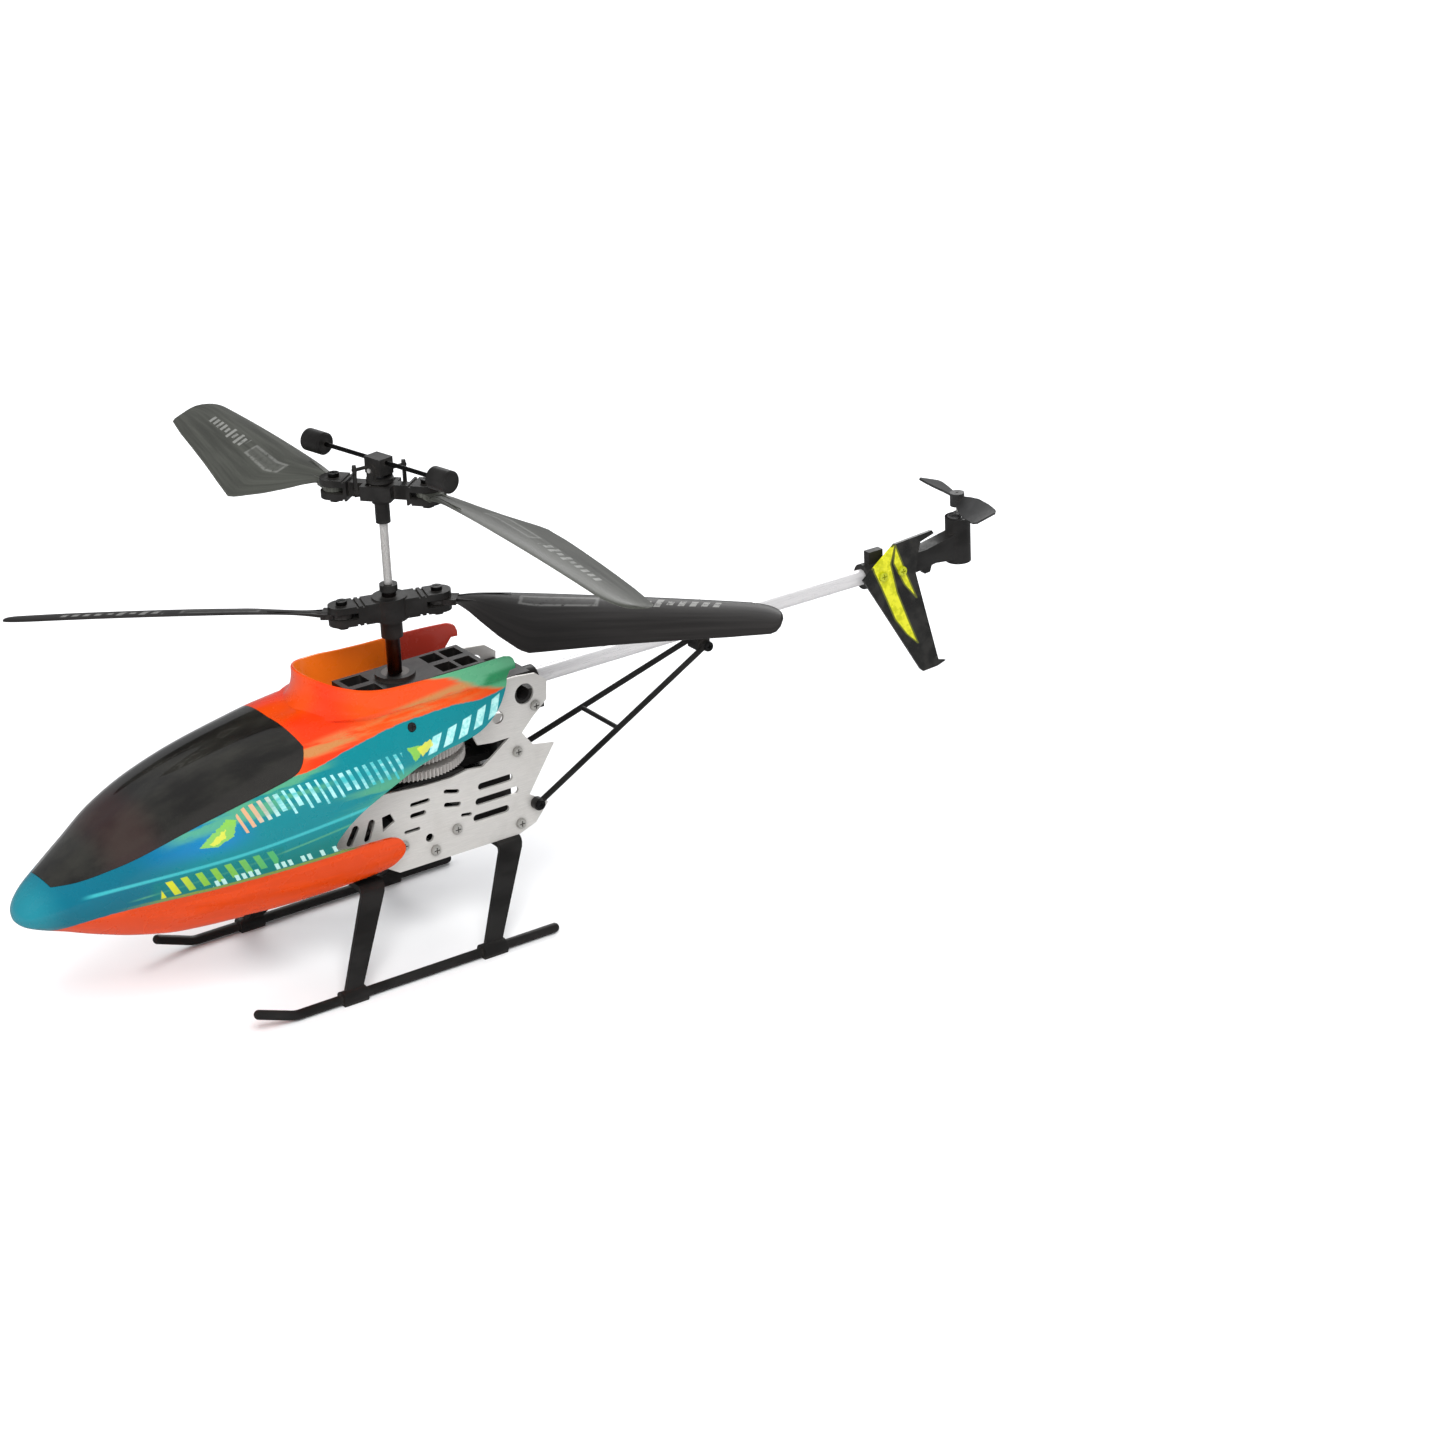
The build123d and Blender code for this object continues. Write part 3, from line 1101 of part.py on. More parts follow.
def main():
    os.makedirs("parts", exist_ok=True)
    for name, shape in build_parts().items():
        export_step(Pos(0, 0, -FRAME_BOTTOM_Z) * shape, f"parts/{name}.step")


main()
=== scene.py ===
import json
from math import cos, hypot, pi, radians, sin, sqrt, tan

import bmesh
import bpy
import numpy as np
from mathutils import Matrix, Vector


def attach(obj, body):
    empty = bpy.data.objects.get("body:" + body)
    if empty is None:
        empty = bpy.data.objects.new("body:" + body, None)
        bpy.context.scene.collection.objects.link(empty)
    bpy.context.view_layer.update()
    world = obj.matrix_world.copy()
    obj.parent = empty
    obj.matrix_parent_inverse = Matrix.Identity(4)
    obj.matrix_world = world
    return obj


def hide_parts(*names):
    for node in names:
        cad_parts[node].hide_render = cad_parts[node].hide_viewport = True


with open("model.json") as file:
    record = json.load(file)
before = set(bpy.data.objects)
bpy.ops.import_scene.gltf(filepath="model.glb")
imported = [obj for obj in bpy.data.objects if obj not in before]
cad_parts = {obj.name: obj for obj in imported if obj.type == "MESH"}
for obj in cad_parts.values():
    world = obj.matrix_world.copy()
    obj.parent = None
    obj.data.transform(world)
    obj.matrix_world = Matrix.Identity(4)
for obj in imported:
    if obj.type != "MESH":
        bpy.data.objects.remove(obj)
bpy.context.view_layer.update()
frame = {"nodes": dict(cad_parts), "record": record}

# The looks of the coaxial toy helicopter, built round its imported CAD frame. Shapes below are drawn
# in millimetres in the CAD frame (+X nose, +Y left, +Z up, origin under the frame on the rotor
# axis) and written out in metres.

nodes = frame["nodes"]

MM = 0.001
GROUND_Z = -32.0

# ---------------------------------------------------------------- meshes


def mesh_object(name, verts, faces, material=None, smooth=True, sharp=35.0):
    """An object from millimetre points, shaded smooth with sharp edges kept."""
    mesh = bpy.data.meshes.new(name)
    mesh.from_pydata([(x * MM, y * MM, z * MM) for x, y, z in verts], [], faces)
    mesh.validate()
    obj = bpy.data.objects.new(name, mesh)
    bpy.context.scene.collection.objects.link(obj)
    tidy_normals(obj)
    if smooth:
        smooth_by_angle(obj, sharp)
    if material:
        mesh.materials.append(material)
    return obj


def tidy_normals(obj):
    """Welds doubles and points every face outwards."""
    bm = bmesh.new()
    bm.from_mesh(obj.data)
    bmesh.ops.remove_doubles(bm, verts=bm.verts, dist=1e-7)
    bmesh.ops.recalc_face_normals(bm, faces=bm.faces)
    bm.to_mesh(obj.data)
    bm.free()


def smooth_by_angle(obj, angle=35.0):
    """Smooth shading with edges sharper than the angle kept crisp."""
    obj.data.polygons.foreach_set("use_smooth", [True] * len(obj.data.polygons))
    obj.data.set_sharp_from_angle(angle=radians(angle))


def bevel(obj, width, segments=2, angle=35.0):
    """Rounds the hard edges of a piece."""
    m = obj.modifiers.new("edge", "BEVEL")
    m.width = width * MM
    m.segments = segments
    m.limit_method = "ANGLE"
    m.angle_limit = radians(angle)
    m.harden_normals = True
    m.use_clamp_overlap = True
    return obj


def apply_modifiers(obj):
    """Bakes a piece's modifiers into its mesh."""
    graph = bpy.context.evaluated_depsgraph_get()
    baked = bpy.data.meshes.new_from_object(obj.evaluated_get(graph))
    obj.modifiers.clear()
    obj.data = baked
    return obj


def boolean(obj, cutter, operation="DIFFERENCE"):
    """Cuts or joins one closed piece with another, which is used up."""
    m = obj.modifiers.new("cut", "BOOLEAN")
    m.operation = operation
    m.object = cutter
    m.solver = "EXACT"
    bpy.context.view_layer.update()
    apply_modifiers(obj)
    bpy.data.objects.remove(cutter)
    return obj


def rings_to_mesh(name, rings, material=None, closed_ring=True, caps=True, **kw):
    """A surface through rows of points, with its two ends capped."""
    n = len(rings[0])
    verts = [p for ring in rings for p in ring]
    faces = []
    last = n if closed_ring else n - 1
    for i in range(len(rings) - 1):
        for j in range(last):
            k = (j + 1) % n
            faces.append((i * n + j, i * n + k, (i + 1) * n + k, (i + 1) * n + j))
    if caps and closed_ring:
        faces.append(tuple(range(n)))
        faces.append(tuple((len(rings) - 1) * n + j for j in reversed(range(n))))
    return mesh_object(name, verts, faces, material, **kw)


def prism_y(name, outline, y0, y1, material=None, **kw):
    """A solid whose outline is drawn in X and Z, between two values of Y."""
    rings = [[(x, y, z) for x, z in outline] for y in (y0, y1)]
    return rings_to_mesh(name, rings, material, **kw)


def box(name, lo, hi, material=None, round_by=0.0, **kw):
    """A block from its corners, with rounded edges if asked."""
    (x0, y0, z0), (x1, y1, z1) = lo, hi
    rings = [[(x0, y0, z), (x1, y0, z), (x1, y1, z), (x0, y1, z)] for z in (z0, z1)]
    obj = rings_to_mesh(name, rings, material, **kw)
    return bevel(obj, round_by, 3) if round_by else obj


def tube(name, points, radius, material=None, sides=16, caps=True):
    """A round tube of constant or varying radius along a path of points."""
    pts = [Vector(p) for p in points]
    radii = radius if isinstance(radius, (list, tuple)) else [radius] * len(pts)
    rings = []
    side = None
    for i, p in enumerate(pts):
        along = (pts[min(i + 1, len(pts) - 1)] - pts[max(i - 1, 0)]).normalized()
        if side is None:
            side = along.orthogonal().normalized()
        side = (side - along * side.dot(along)).normalized()
        up = along.cross(side)
        rings.append([tuple(p + (side * cos(a) + up * sin(a)) * radii[i]) for a in
                      (2 * pi * j / sides for j in range(sides))])
    return rings_to_mesh(name, rings, material, caps=caps)


def curve_points(points, steps=8):
    """A smooth path through control points."""
    pts = [Vector(p) for p in points]
    out = []
    for i in range(len(pts) - 1):
        a, b = pts[max(i - 1, 0)], pts[i]
        c, d = pts[i + 1], pts[min(i + 2, len(pts) - 1)]
        for k in range(steps):
            t = k / steps
            out.append(0.5 * (2 * b + (c - a) * t + (2 * a - 5 * b + 4 * c - d) * t * t
                              + (3 * b - a - 3 * c + d) * t ** 3))
    return out + [pts[-1]]


def pchip(xs, ys):
    """A smooth curve through points that never overshoots them."""
    xs, ys = np.array(xs, float), np.array(ys, float)
    h, d = np.diff(xs), np.diff(ys) / np.diff(xs)
    m = np.zeros(len(xs))
    for i in range(1, len(xs) - 1):
        if d[i - 1] * d[i] > 0:
            w1, w2 = 2 * h[i] + h[i - 1], h[i] + 2 * h[i - 1]
            m[i] = (w1 + w2) / (w1 / d[i - 1] + w2 / d[i])
    m[0], m[-1] = d[0], d[-1]

    def at(x):
        i = int(min(max(np.searchsorted(xs, x) - 1, 0), len(xs) - 2))
        t = (x - xs[i]) / h[i]
        t = min(max(t, 0.0), 1.0)
        return (ys[i] * (1 + 2 * t) * (1 - t) ** 2 + m[i] * h[i] * t * (1 - t) ** 2
                + ys[i + 1] * t * t * (3 - 2 * t) + m[i + 1] * h[i] * t * t * (t - 1))

    return at


# ---------------------------------------------------------------- shader helpers


class Paint:
    """A material and short names for the shader nodes it is built from."""

    def __init__(self, name, **principled):
        self.mat = bpy.data.materials.new(name)
        self.mat.use_nodes = True
        self.tree = self.mat.node_tree
        self.bsdf = self.tree.nodes["Principled BSDF"]
        self._coords = None
        for key, value in principled.items():
            self.set(key.replace("_", " "), value)

    def set(self, key, value):
        """Sets or links one input of the surface."""
        socket = next(s for s in self.bsdf.inputs if s.name.lower() == key.lower())
        self._feed(socket, value)

    def _feed(self, socket, value):
        if isinstance(value, bpy.types.NodeSocket):
            self.tree.links.new(value, socket)
        elif isinstance(value, tuple) and len(value) == 3 and socket.type == "RGBA":
            socket.default_value = (*value, 1.0)
        else:
            socket.default_value = value

    def node(self, kind, out=0, **inputs):
        n = self.tree.nodes.new(kind)
        props = {k[1:]: v for k, v in inputs.items() if k.startswith("_")}
        for k, v in props.items():
            setattr(n, k, v)
        for k, v in inputs.items():
            if k.startswith("_"):
                continue
            socket = n.inputs[int(k[1:])] if k[0] == "i" and k[1:].isdigit() else n.inputs[k.replace("_", " ")]
            self._feed(socket, v)
        return n.outputs[out]

    def m(self, op, a, b=0.0, c=0.0, clamp=False):
        return self.node("ShaderNodeMath", _operation=op, _use_clamp=clamp, i0=a, i1=b, i2=c)

    def add(self, a, b): return self.m("ADD", a, b)
    def sub(self, a, b): return self.m("SUBTRACT", a, b)
    def mul(self, a, b): return self.m("MULTIPLY", a, b)
    def lt(self, a, b): return self.m("LESS_THAN", a, b)
    def gt(self, a, b): return self.m("GREATER_THAN", a, b)
    def both(self, a, b): return self.m("MULTIPLY", a, b)
    def either(self, a, b): return self.m("MAXIMUM", a, b)
    def absolute(self, a): return self.m("ABSOLUTE", a)
    def fract(self, a): return self.m("FRACT", a)

    def step(self, value, low, high):
        """Zero below low, one above high, smooth between; swap them to turn it round."""
        return self.node("ShaderNodeMapRange", _interpolation_type="SMOOTHSTEP",
                         Value=value, From_Min=low, From_Max=high) if low < high else self.sub(
            1.0, self.step(value, high, low))

    def between(self, value, low, high, soft=0.05):
        return self.both(self.step(value, low - soft, low + soft), self.step(value, high + soft, high - soft))

    def mix(self, fac, a, b, blend="MIX"):
        n = self.tree.nodes.new("ShaderNodeMix")
        n.data_type = "RGBA"
        n.blend_type = blend
        self._feed(n.inputs[0], fac)
        for socket, v in ((n.inputs[6], a), (n.inputs[7], b)):
            if isinstance(v, tuple) and len(v) == 3:
                v = (*v, 1.0)
            self._feed(socket, v)
        return n.outputs[2]

    def coords(self):
        """Position in the CAD frame, in millimetres, as (vector, x, y, z)."""
        if self._coords is None:
            tex = self.tree.nodes.new("ShaderNodeTexCoord").outputs["Object"]
            vec = self.node("ShaderNodeVectorMath", _operation="SCALE", i0=tex, Scale=1000.0)
            n = self.tree.nodes.new("ShaderNodeSeparateXYZ")
            self.tree.links.new(vec, n.inputs[0])
            self._coords = (vec, n.outputs[0], n.outputs[1], n.outputs[2])
        return self._coords

    def stretch(self, vec, sx, sy, sz):
        return self.node("ShaderNodeVectorMath", _operation="MULTIPLY", i0=vec, i1=(sx, sy, sz))

    def noise(self, vec, scale, detail=3.0, rough=0.55):
        return self.node("ShaderNodeTexNoise", Vector=vec, Scale=scale, Detail=detail, Roughness=rough)

    def voronoi(self, vec, scale, feature="F1"):
        return self.node("ShaderNodeTexVoronoi", _feature=feature, Vector=vec, Scale=scale)

    def remap(self, value, lo, hi, new_lo, new_hi):
        return self.node("ShaderNodeMapRange", Value=value, From_Min=lo, From_Max=hi, To_Min=new_lo, To_Max=new_hi)

    def curve(self, value, points, lo, hi):
        """A value looked up in a line of (input, output) points."""
        n = self.tree.nodes.new("ShaderNodeFloatCurve")
        x0, x1 = points[0][0], points[-1][0]
        self._feed(n.inputs["Value"], self.m("DIVIDE", self.sub(value, x0), x1 - x0))
        c = n.mapping.curves[0]
        for i, (x, y) in enumerate(points):
            at = ((x - x0) / (x1 - x0), (y - lo) / (hi - lo))
            if i in (0, 1):
                c.points[i].location = at
            else:
                c.points.new(*at)
        if len(points) > 2:
            ordered = [((x - x0) / (x1 - x0), (y - lo) / (hi - lo)) for x, y in points]
            for p, at in zip(c.points, sorted(ordered)):
                p.location = at
                p.handle_type = "AUTO_CLAMPED"
        n.mapping.update()
        return self.add(self.mul(n.outputs[0], hi - lo), lo)

    def span(self, x, z, outline, inset=0.0):
        """Inside an outline that every level line crosses twice: between its two edges at height z."""
        zs = [c[1] for c in outline]
        lo, hi = min(zs), max(zs)
        rows = [lo + (hi - lo) * i / 24 for i in range(25)]
        left, right = [], []
        for row in rows:
            level = min(max(row, lo + 1e-3), hi - 1e-3)
            cuts = []
            for (x0, z0), (x1, z1) in zip(outline, outline[1:] + outline[:1]):
                if (z0 - level) * (z1 - level) < 0:
                    cuts.append(x0 + (x1 - x0) * (level - z0) / (z1 - z0))
            left.append((row, min(cuts)))
            right.append((row, max(cuts)))
        width = abs(outline[0][0]) + 60
        edges = [self.curve(z, side, -width, width) for side in (left, right)]
        inside = self.both(self.step(self.sub(x, edges[0]), inset - 0.15, inset + 0.15),
                           self.step(self.sub(edges[1], x), inset - 0.15, inset + 0.15))
        return self.both(inside, self.between(z, lo, hi, 0.2))

    def bump(self, height, strength=0.3, distance=0.1, normal=None):
        n = self.tree.nodes.new("ShaderNodeBump")
        self._feed(n.inputs["Strength"], strength)
        self._feed(n.inputs["Distance"], distance * MM)
        self._feed(n.inputs["Height"], height)
        if normal is not None:
            self._feed(n.inputs["Normal"], normal)
        return n.outputs[0]

    def crevice(self, reach=3.0):
        """Near one in corners and gaps, zero in the open."""
        n = self.tree.nodes.new("ShaderNodeAmbientOcclusion")
        n.samples = 4
        n.inputs["Distance"].default_value = reach * MM
        return self.step(n.outputs["AO"], 0.95, 0.35)


def moulded(name, colour, rough=0.42, grain=0.25, coat=0.0, dust_and_shade=0.25, tint=0.15, scale=1.0):
    """Injection-moulded plastic: fine spark grain, faint flow marks, handling sheen and painted shade in corners."""
    p = Paint(name, Coat_Weight=coat, Coat_Roughness=0.12)
    vec, x, y, z = p.coords()
    flow = p.noise(p.stretch(vec, 0.05, 0.14, 0.14), 1.0 * scale, 3.0)
    spark = p.noise(vec, 5.5 * scale, 2.0, 0.6)
    pits = p.voronoi(vec, 3.2 * scale)
    smudge = p.noise(vec, 0.12 * scale, 4.0, 0.6)
    lighter = tuple(min(1.0, c * (1 + tint) + 0.004) for c in colour)
    darker = tuple(c * (1 - tint) for c in colour)
    base = p.mix(p.step(flow, 0.35, 0.65), darker, lighter)
    scuff = p.step(p.noise(p.stretch(vec, 1.0, 1.0, 0.22), 1.4 * scale, 5.0, 0.7), 0.66, 0.74)
    base = p.mix(p.mul(scuff, 0.35), base, tuple(min(1.0, c * 1.5 + 0.025) for c in colour))
    # painted shade: the colour darkens where ambient occlusion finds corners and gaps
    corner_shade = p.mul(p.crevice(2.0), dust_and_shade)
    base = p.mix(corner_shade, base, (0.11, 0.10, 0.09))
    p.set("Base Color", base)
    r = p.add(p.remap(smudge, 0.3, 0.7, rough - 0.09, rough + 0.1), p.mul(scuff, 0.12))
    p.set("Roughness", p.add(r, p.mul(corner_shade, 0.3)))
    p.set("Specular IOR Level", 0.26)
    height = p.add(p.mul(spark, 0.7), p.mul(pits, 0.3))
    p.set("Normal", p.bump(height, grain, 0.05))
    return p.mat


def metal(name, colour, rough=0.3, lines=(0.15, 6.0, 6.0), streak=0.25, tarnish=(0.25, 0.22, 0.18), age=0.15,
          bright=1.0):
    """Worked metal: tool lines along one direction, scratches, finger marks and painted shade in corners."""
    p = Paint(name, Metallic=bright)
    vec, x, y, z = p.coords()
    grain = p.noise(p.stretch(vec, *lines), 2.2, 3.0, 0.65)
    fine = p.noise(p.stretch(vec, *(v * 3.0 for v in lines)), 3.0, 2.0, 0.5)
    cloud = p.noise(vec, 0.09, 4.0, 0.6)
    scratch = p.step(p.noise(p.stretch(vec, 0.4, 0.4, 2.6), 1.6, 6.0, 0.75), 0.685, 0.72)
    dark = tuple(c * 0.8 for c in colour)
    base = p.mix(p.remap(grain, 0.3, 0.7, 0.0, 1.0), dark, colour)
    base = p.mix(p.mul(p.step(cloud, 0.5, 0.75), age), base, tarnish)
    # painted shade: the colour darkens where ambient occlusion finds corners and gaps
    metal_corner_shade = p.mul(p.crevice(1.6), 0.45)
    base = p.mix(metal_corner_shade, base, (0.07, 0.065, 0.06))
    p.set("Base Color", base)
    r = p.add(p.remap(grain, 0.3, 0.7, rough - 0.07, rough + 0.09), p.mul(scratch, 0.14))
    p.set("Roughness", p.add(p.add(r, p.remap(cloud, 0.3, 0.7, -0.03, 0.06)), p.mul(metal_corner_shade, 0.4)))
    height = p.add(p.add(p.mul(grain, 0.5), p.mul(fine, 0.5)), p.mul(scratch, -0.5))
    p.set("Normal", p.bump(height, streak, 0.02))
    return p.mat


# ---------------------------------------------------------------- colours (linear)


def srgb(r, g, b):
    """Linear colour from 0-255 screen values."""
    return tuple(c / 12.92 if c <= 0.04045 else ((c + 0.055) / 1.055) ** 2.4 for c in (r / 255, g / 255, b / 255))


BLUE = srgb(0, 122, 131)
FRONT_BLUE = srgb(0, 88, 112)
BRIGHT_BLUE = srgb(0, 116, 168)
DEEP_TEAL = srgb(0, 112, 108)
AQUA = srgb(60, 178, 182)
ORANGE = srgb(222, 70, 2)
DEEP_ORANGE = srgb(226, 52, 8)
CORAL = srgb(218, 74, 20)
BELLY_ORANGE = srgb(206, 62, 0)
TAN = srgb(178, 132, 76)
GREEN = srgb(84, 160, 118)
DARK_GREEN = srgb(18, 124, 74)
LIME = srgb(120, 176, 60)
DASH_GREEN = srgb(70, 160, 96)
DASH_YELLOW = srgb(196, 196, 30)
SPLASH_LIME = srgb(132, 190, 60)
SPLASH_YELLOW = srgb(206, 206, 70)
STROKE_MINT = srgb(170, 224, 222)
PALE_TICK = srgb(178, 220, 212)
# DARK_RED is the inner wall's painted shade towards the rear tips.
DARK_RED = srgb(182, 58, 44)
# LINING_ORANGE is brighter than the outside orange: painted light for the shaded inside of the shell.
LINING_ORANGE = srgb(255, 122, 26)
BARE_WHITE = srgb(214, 214, 210)

# Paint boundaries on the canopy's side, as x, z in millimetres.
BELLY_LINE = [(-60, 19.5), (20, 18.9), (65, 19.0), (88, 19.4), (112, 20.2), (134, 18.0), (154, 8.0)]
ROOF_LINE = [(-60, 60.0), (-36, 60.6), (-20, 59.4), (-7, 60.3), (13, 59.8), (32, 57.0), (54, 52.6), (154, 52.0)]


def canopy_paint():
    """The canopy's colours: teal sides, orange roof and belly, green tail, and printed flashes."""
    p = Paint("canopy_paint_gloss", Coat_Weight=0.35, Coat_Roughness=0.07)
    vec, x, y, z = p.coords()
    wobble = p.mul(p.sub(p.noise(vec, 0.35, 3.0), 0.5), 0.9)
    brush = p.noise(p.stretch(vec, 0.022, 0.2, 0.2), 1.0, 4.0, 0.6)
    streaks = p.noise(p.node("ShaderNodeVectorRotate", _rotation_type="Y_AXIS", Vector=p.stretch(vec, 0.03, 0.1, 0.25),
                             Angle=0.28), 1.0, 4.0, 0.6)
    waist = p.sub(z, p.curve(x, [(-60, 40.0), (28, 33.8), (70, 30.8), (131, 27.6), (154, 20.0)], 0, 60))

    # sides
    side = p.mix(p.step(waist, 1.5, -9.0), BLUE, DEEP_TEAL)
    side = p.mix(p.both(p.between(x, 78, 116, 9), p.between(waist, 4.5, 16, 3.5)), side, BRIGHT_BLUE)
    side = p.mix(p.mul(p.step(x, 88, 122), 0.8), side, FRONT_BLUE)
    # painted highlight: the nose tip lightened towards aqua
    side = p.mix(p.mul(p.step(x, 138, 150), 0.2), side, AQUA)
    pale = p.both(p.between(x, 44, 104, 7), p.step(p.sub(z, p.curve(x, [(40, 46), (60, 41.5), (80, 40.8), (104, 38.5)], 0, 60)), -1.0, 3.0))
    pale = p.mul(pale, p.step(brush, 0.40, 0.56))
    side = p.mix(p.mul(pale, 0.8), side, GREEN)
    near_arch = p.both(p.step(x, 52, 26), p.between(waist, 0.5, 9.0, 3.0))
    side = p.mix(p.mul(p.mul(near_arch, p.step(brush, 0.42, 0.6)), 0.75), side, GREEN)

    # two light lines along the crease
    line = p.mul(p.between(waist, -0.35, 0.75, 0.35), p.between(x, 12, 133, 3))
    thin = p.both(p.between(p.add(waist, p.mul(p.sub(x, 30), 0.028)), -3.6, -2.9, 0.25), p.between(x, 12, 118, 4))
    side = p.mix(p.mul(line, 0.75), side, AQUA)
    side = p.mix(p.mul(thin, 0.6), side, GREEN)

    # slanted dashes along the lower front
    low = p.sub(z, p.curve(x, [(60, 22.4), (80, 22.2), (108, 21.2), (124, 20.0)], 0, 60))
    shear = p.sub(x, p.mul(low, 0.55))
    dash_zone = p.both(p.between(x, 66, 109, 0.3), p.between(low, 0.4, 6.6, 0.2))
    dash = p.between(p.fract(p.m("DIVIDE", shear, 5.3)), 0.16, 0.62, 0.02)
    dash_colour = p.mix(p.step(x, 66, 92), DASH_GREEN, LIME)
    dash_colour = p.mix(p.step(x, 92, 108), dash_colour, DASH_YELLOW)
    under = p.both(p.between(x, 64, 112, 1.5), p.between(low, -1.6, 7.2, 0.6))
    side = p.mix(p.mul(under, 0.6), side, DEEP_TEAL)
    side = p.mix(p.both(dash_zone, dash), side, dash_colour)
    # a row of small pale ticks between the dashes and the arch
    low = p.sub(z, p.curve(x, [(24, 20.4), (60, 21.0), (94, 21.0)], 0, 60))
    shear = p.sub(x, p.mul(low, 0.5))
    tick_row = p.both(p.between(x, 26, 90, 0.4), p.between(low, -0.4, 2.3, 0.15))
    cell = p.m("FLOOR", p.m("DIVIDE", shear, 2.5))
    rand = p.node("ShaderNodeTexWhiteNoise", out=0, _noise_dimensions="1D", W=cell)
    ticks = p.both(p.lt(p.fract(p.m("DIVIDE", shear, 2.5)), 0.6), p.gt(rand, 0.25))
    side = p.mix(p.mul(p.both(tick_row, ticks), 0.9), side, PALE_TICK)

    # the broad flash of slanted strokes below the roof
    mid = p.sub(z, p.curve(x, [(12, 46.6), (40, 45.8), (64, 44.8), (80, 42.6)], 0, 60))
    lean = p.sub(x, p.mul(mid, 0.42))
    cell = p.m("FLOOR", p.m("DIVIDE", lean, 3.1))
    rand = p.node("ShaderNodeTexWhiteNoise", out=0, _noise_dimensions="1D", W=cell)
    within = p.fract(p.m("DIVIDE", lean, 3.1))
    tall = p.mul(p.remap(rand, 0, 1, 3.3, 4.9), p.step(x, 86, 76))
    shift = p.mul(p.sub(rand, 0.5), 1.2)
    bars = p.both(p.lt(p.absolute(p.sub(within, 0.4)), p.remap(rand, 0, 1, 0.30, 0.14)),
                  p.lt(p.absolute(p.add(mid, shift)), tall))
    flash = p.both(bars, p.between(x, 15.5, 80, 0.2))
    flash_colour = p.mix(p.step(x, 62, 76), p.mix(p.step(brush, 0.4, 0.6), STROKE_MINT, AQUA), srgb(214, 160, 120))
    side = p.mix(p.mul(flash, 0.9), side, flash_colour)

    # the five pale panes at the back, leaning forward, and two yellow-green splashes
    pane_line = p.sub(z, p.curve(x, [(-28, 56.6), (-18, 53.6), (-4, 50.7), (6, 49.2)], 0, 60))
    lean = p.add(x, p.mul(pane_line, 0.52))
    pane = p.both(p.between(p.fract(p.m("DIVIDE", p.add(lean, 27.6), 6.6)), 0.16, 0.74, 0.02),
                  p.both(p.between(lean, -26.6, 5.2, 0.1), p.between(pane_line, -3.0, 2.6, 0.2)))
    pane_colour = p.mix(p.step(p.noise(vec, 0.5, 2.0), 0.42, 0.6), srgb(176, 226, 222), srgb(140, 208, 206))
    side = p.mix(pane, side, pane_colour)
    ragged = p.mul(p.sub(p.noise(vec, 0.8, 3.0), 0.5), 2.2)
    for shard, tone in (
        ([(13.2, 51.4), (4.6, 50.4), (7.0, 48.8), (10.6, 45.6)], SPLASH_LIME),
        ([(9.6, 50.2), (3.2, 51.8), (2.6, 49.6), (7.4, 46.6)], SPLASH_YELLOW),
        ([(95.0, 37.2), (83.4, 44.6), (80.0, 43.6), (82.0, 38.6), (88.0, 36.0)], SPLASH_LIME),
        ([(91.0, 37.6), (84.6, 41.6), (84.8, 38.8), (89.4, 36.6)], SPLASH_YELLOW),
    ):
        leaf = p.span(p.add(x, ragged), p.add(z, p.mul(ragged, 0.5)), shard)
        side = p.mix(p.mul(leaf, 0.85), side, tone)

    # roof: orange, with brushed tan running into green at the tail
    roof = p.mix(p.step(z, 58, 68), CORAL, ORANGE)
    roof = p.mix(p.both(p.between(x, 30, 52, 5), p.step(p.absolute(y), 4, 12)), roof, DEEP_ORANGE)
    rise = p.add(z, p.mul(p.sub(x, 10), 0.10))
    tan_band = p.mul(p.between(rise, 60.4, 64.4, 1.2), p.step(streaks, 0.34, 0.52))
    roof = p.mix(p.mul(tan_band, 0.85), roof, TAN)
    olive = p.mul(p.both(p.between(rise, 57.6, 59.4, 0.8), p.between(x, -20, 30, 8)), p.step(streaks, 0.4, 0.6))
    roof = p.mix(p.mul(olive, 0.5), roof, TAN)
    edge = p.sub(x, p.add(-26.0, p.mul(p.sub(z, 61.0), 2.3)))
    tail = p.step(p.add(edge, p.mul(p.sub(streaks, 0.5), 16)), 3.0, -3.5)
    roof = p.mix(tail, roof, GREEN)
    patch = p.both(p.step(p.add(x, p.mul(p.sub(streaks, 0.5), 14)), -22, -26), p.between(z, 62.6, 66.2, 1.0))
    roof = p.mix(p.mul(patch, 0.9), roof, DARK_GREEN)

    belly = p.mix(p.mul(p.step(brush, 0.5, 0.62), 0.5), BELLY_ORANGE, ORANGE)
    body = p.mix(p.step(p.sub(p.add(z, wobble), p.curve(x, ROOF_LINE, 0, 80)), -0.25, 0.25), side, roof)
    belly_edge = p.sub(p.add(z, p.mul(wobble, 0.5)), p.curve(x, BELLY_LINE, 0, 60))
    body = p.mix(p.step(belly_edge, 0.25, -0.25), body, belly)
    body = p.mix(p.mul(p.between(belly_edge, 0.1, 1.2, 0.3), p.step(x, 128, 100)), body, srgb(120, 140, 60))
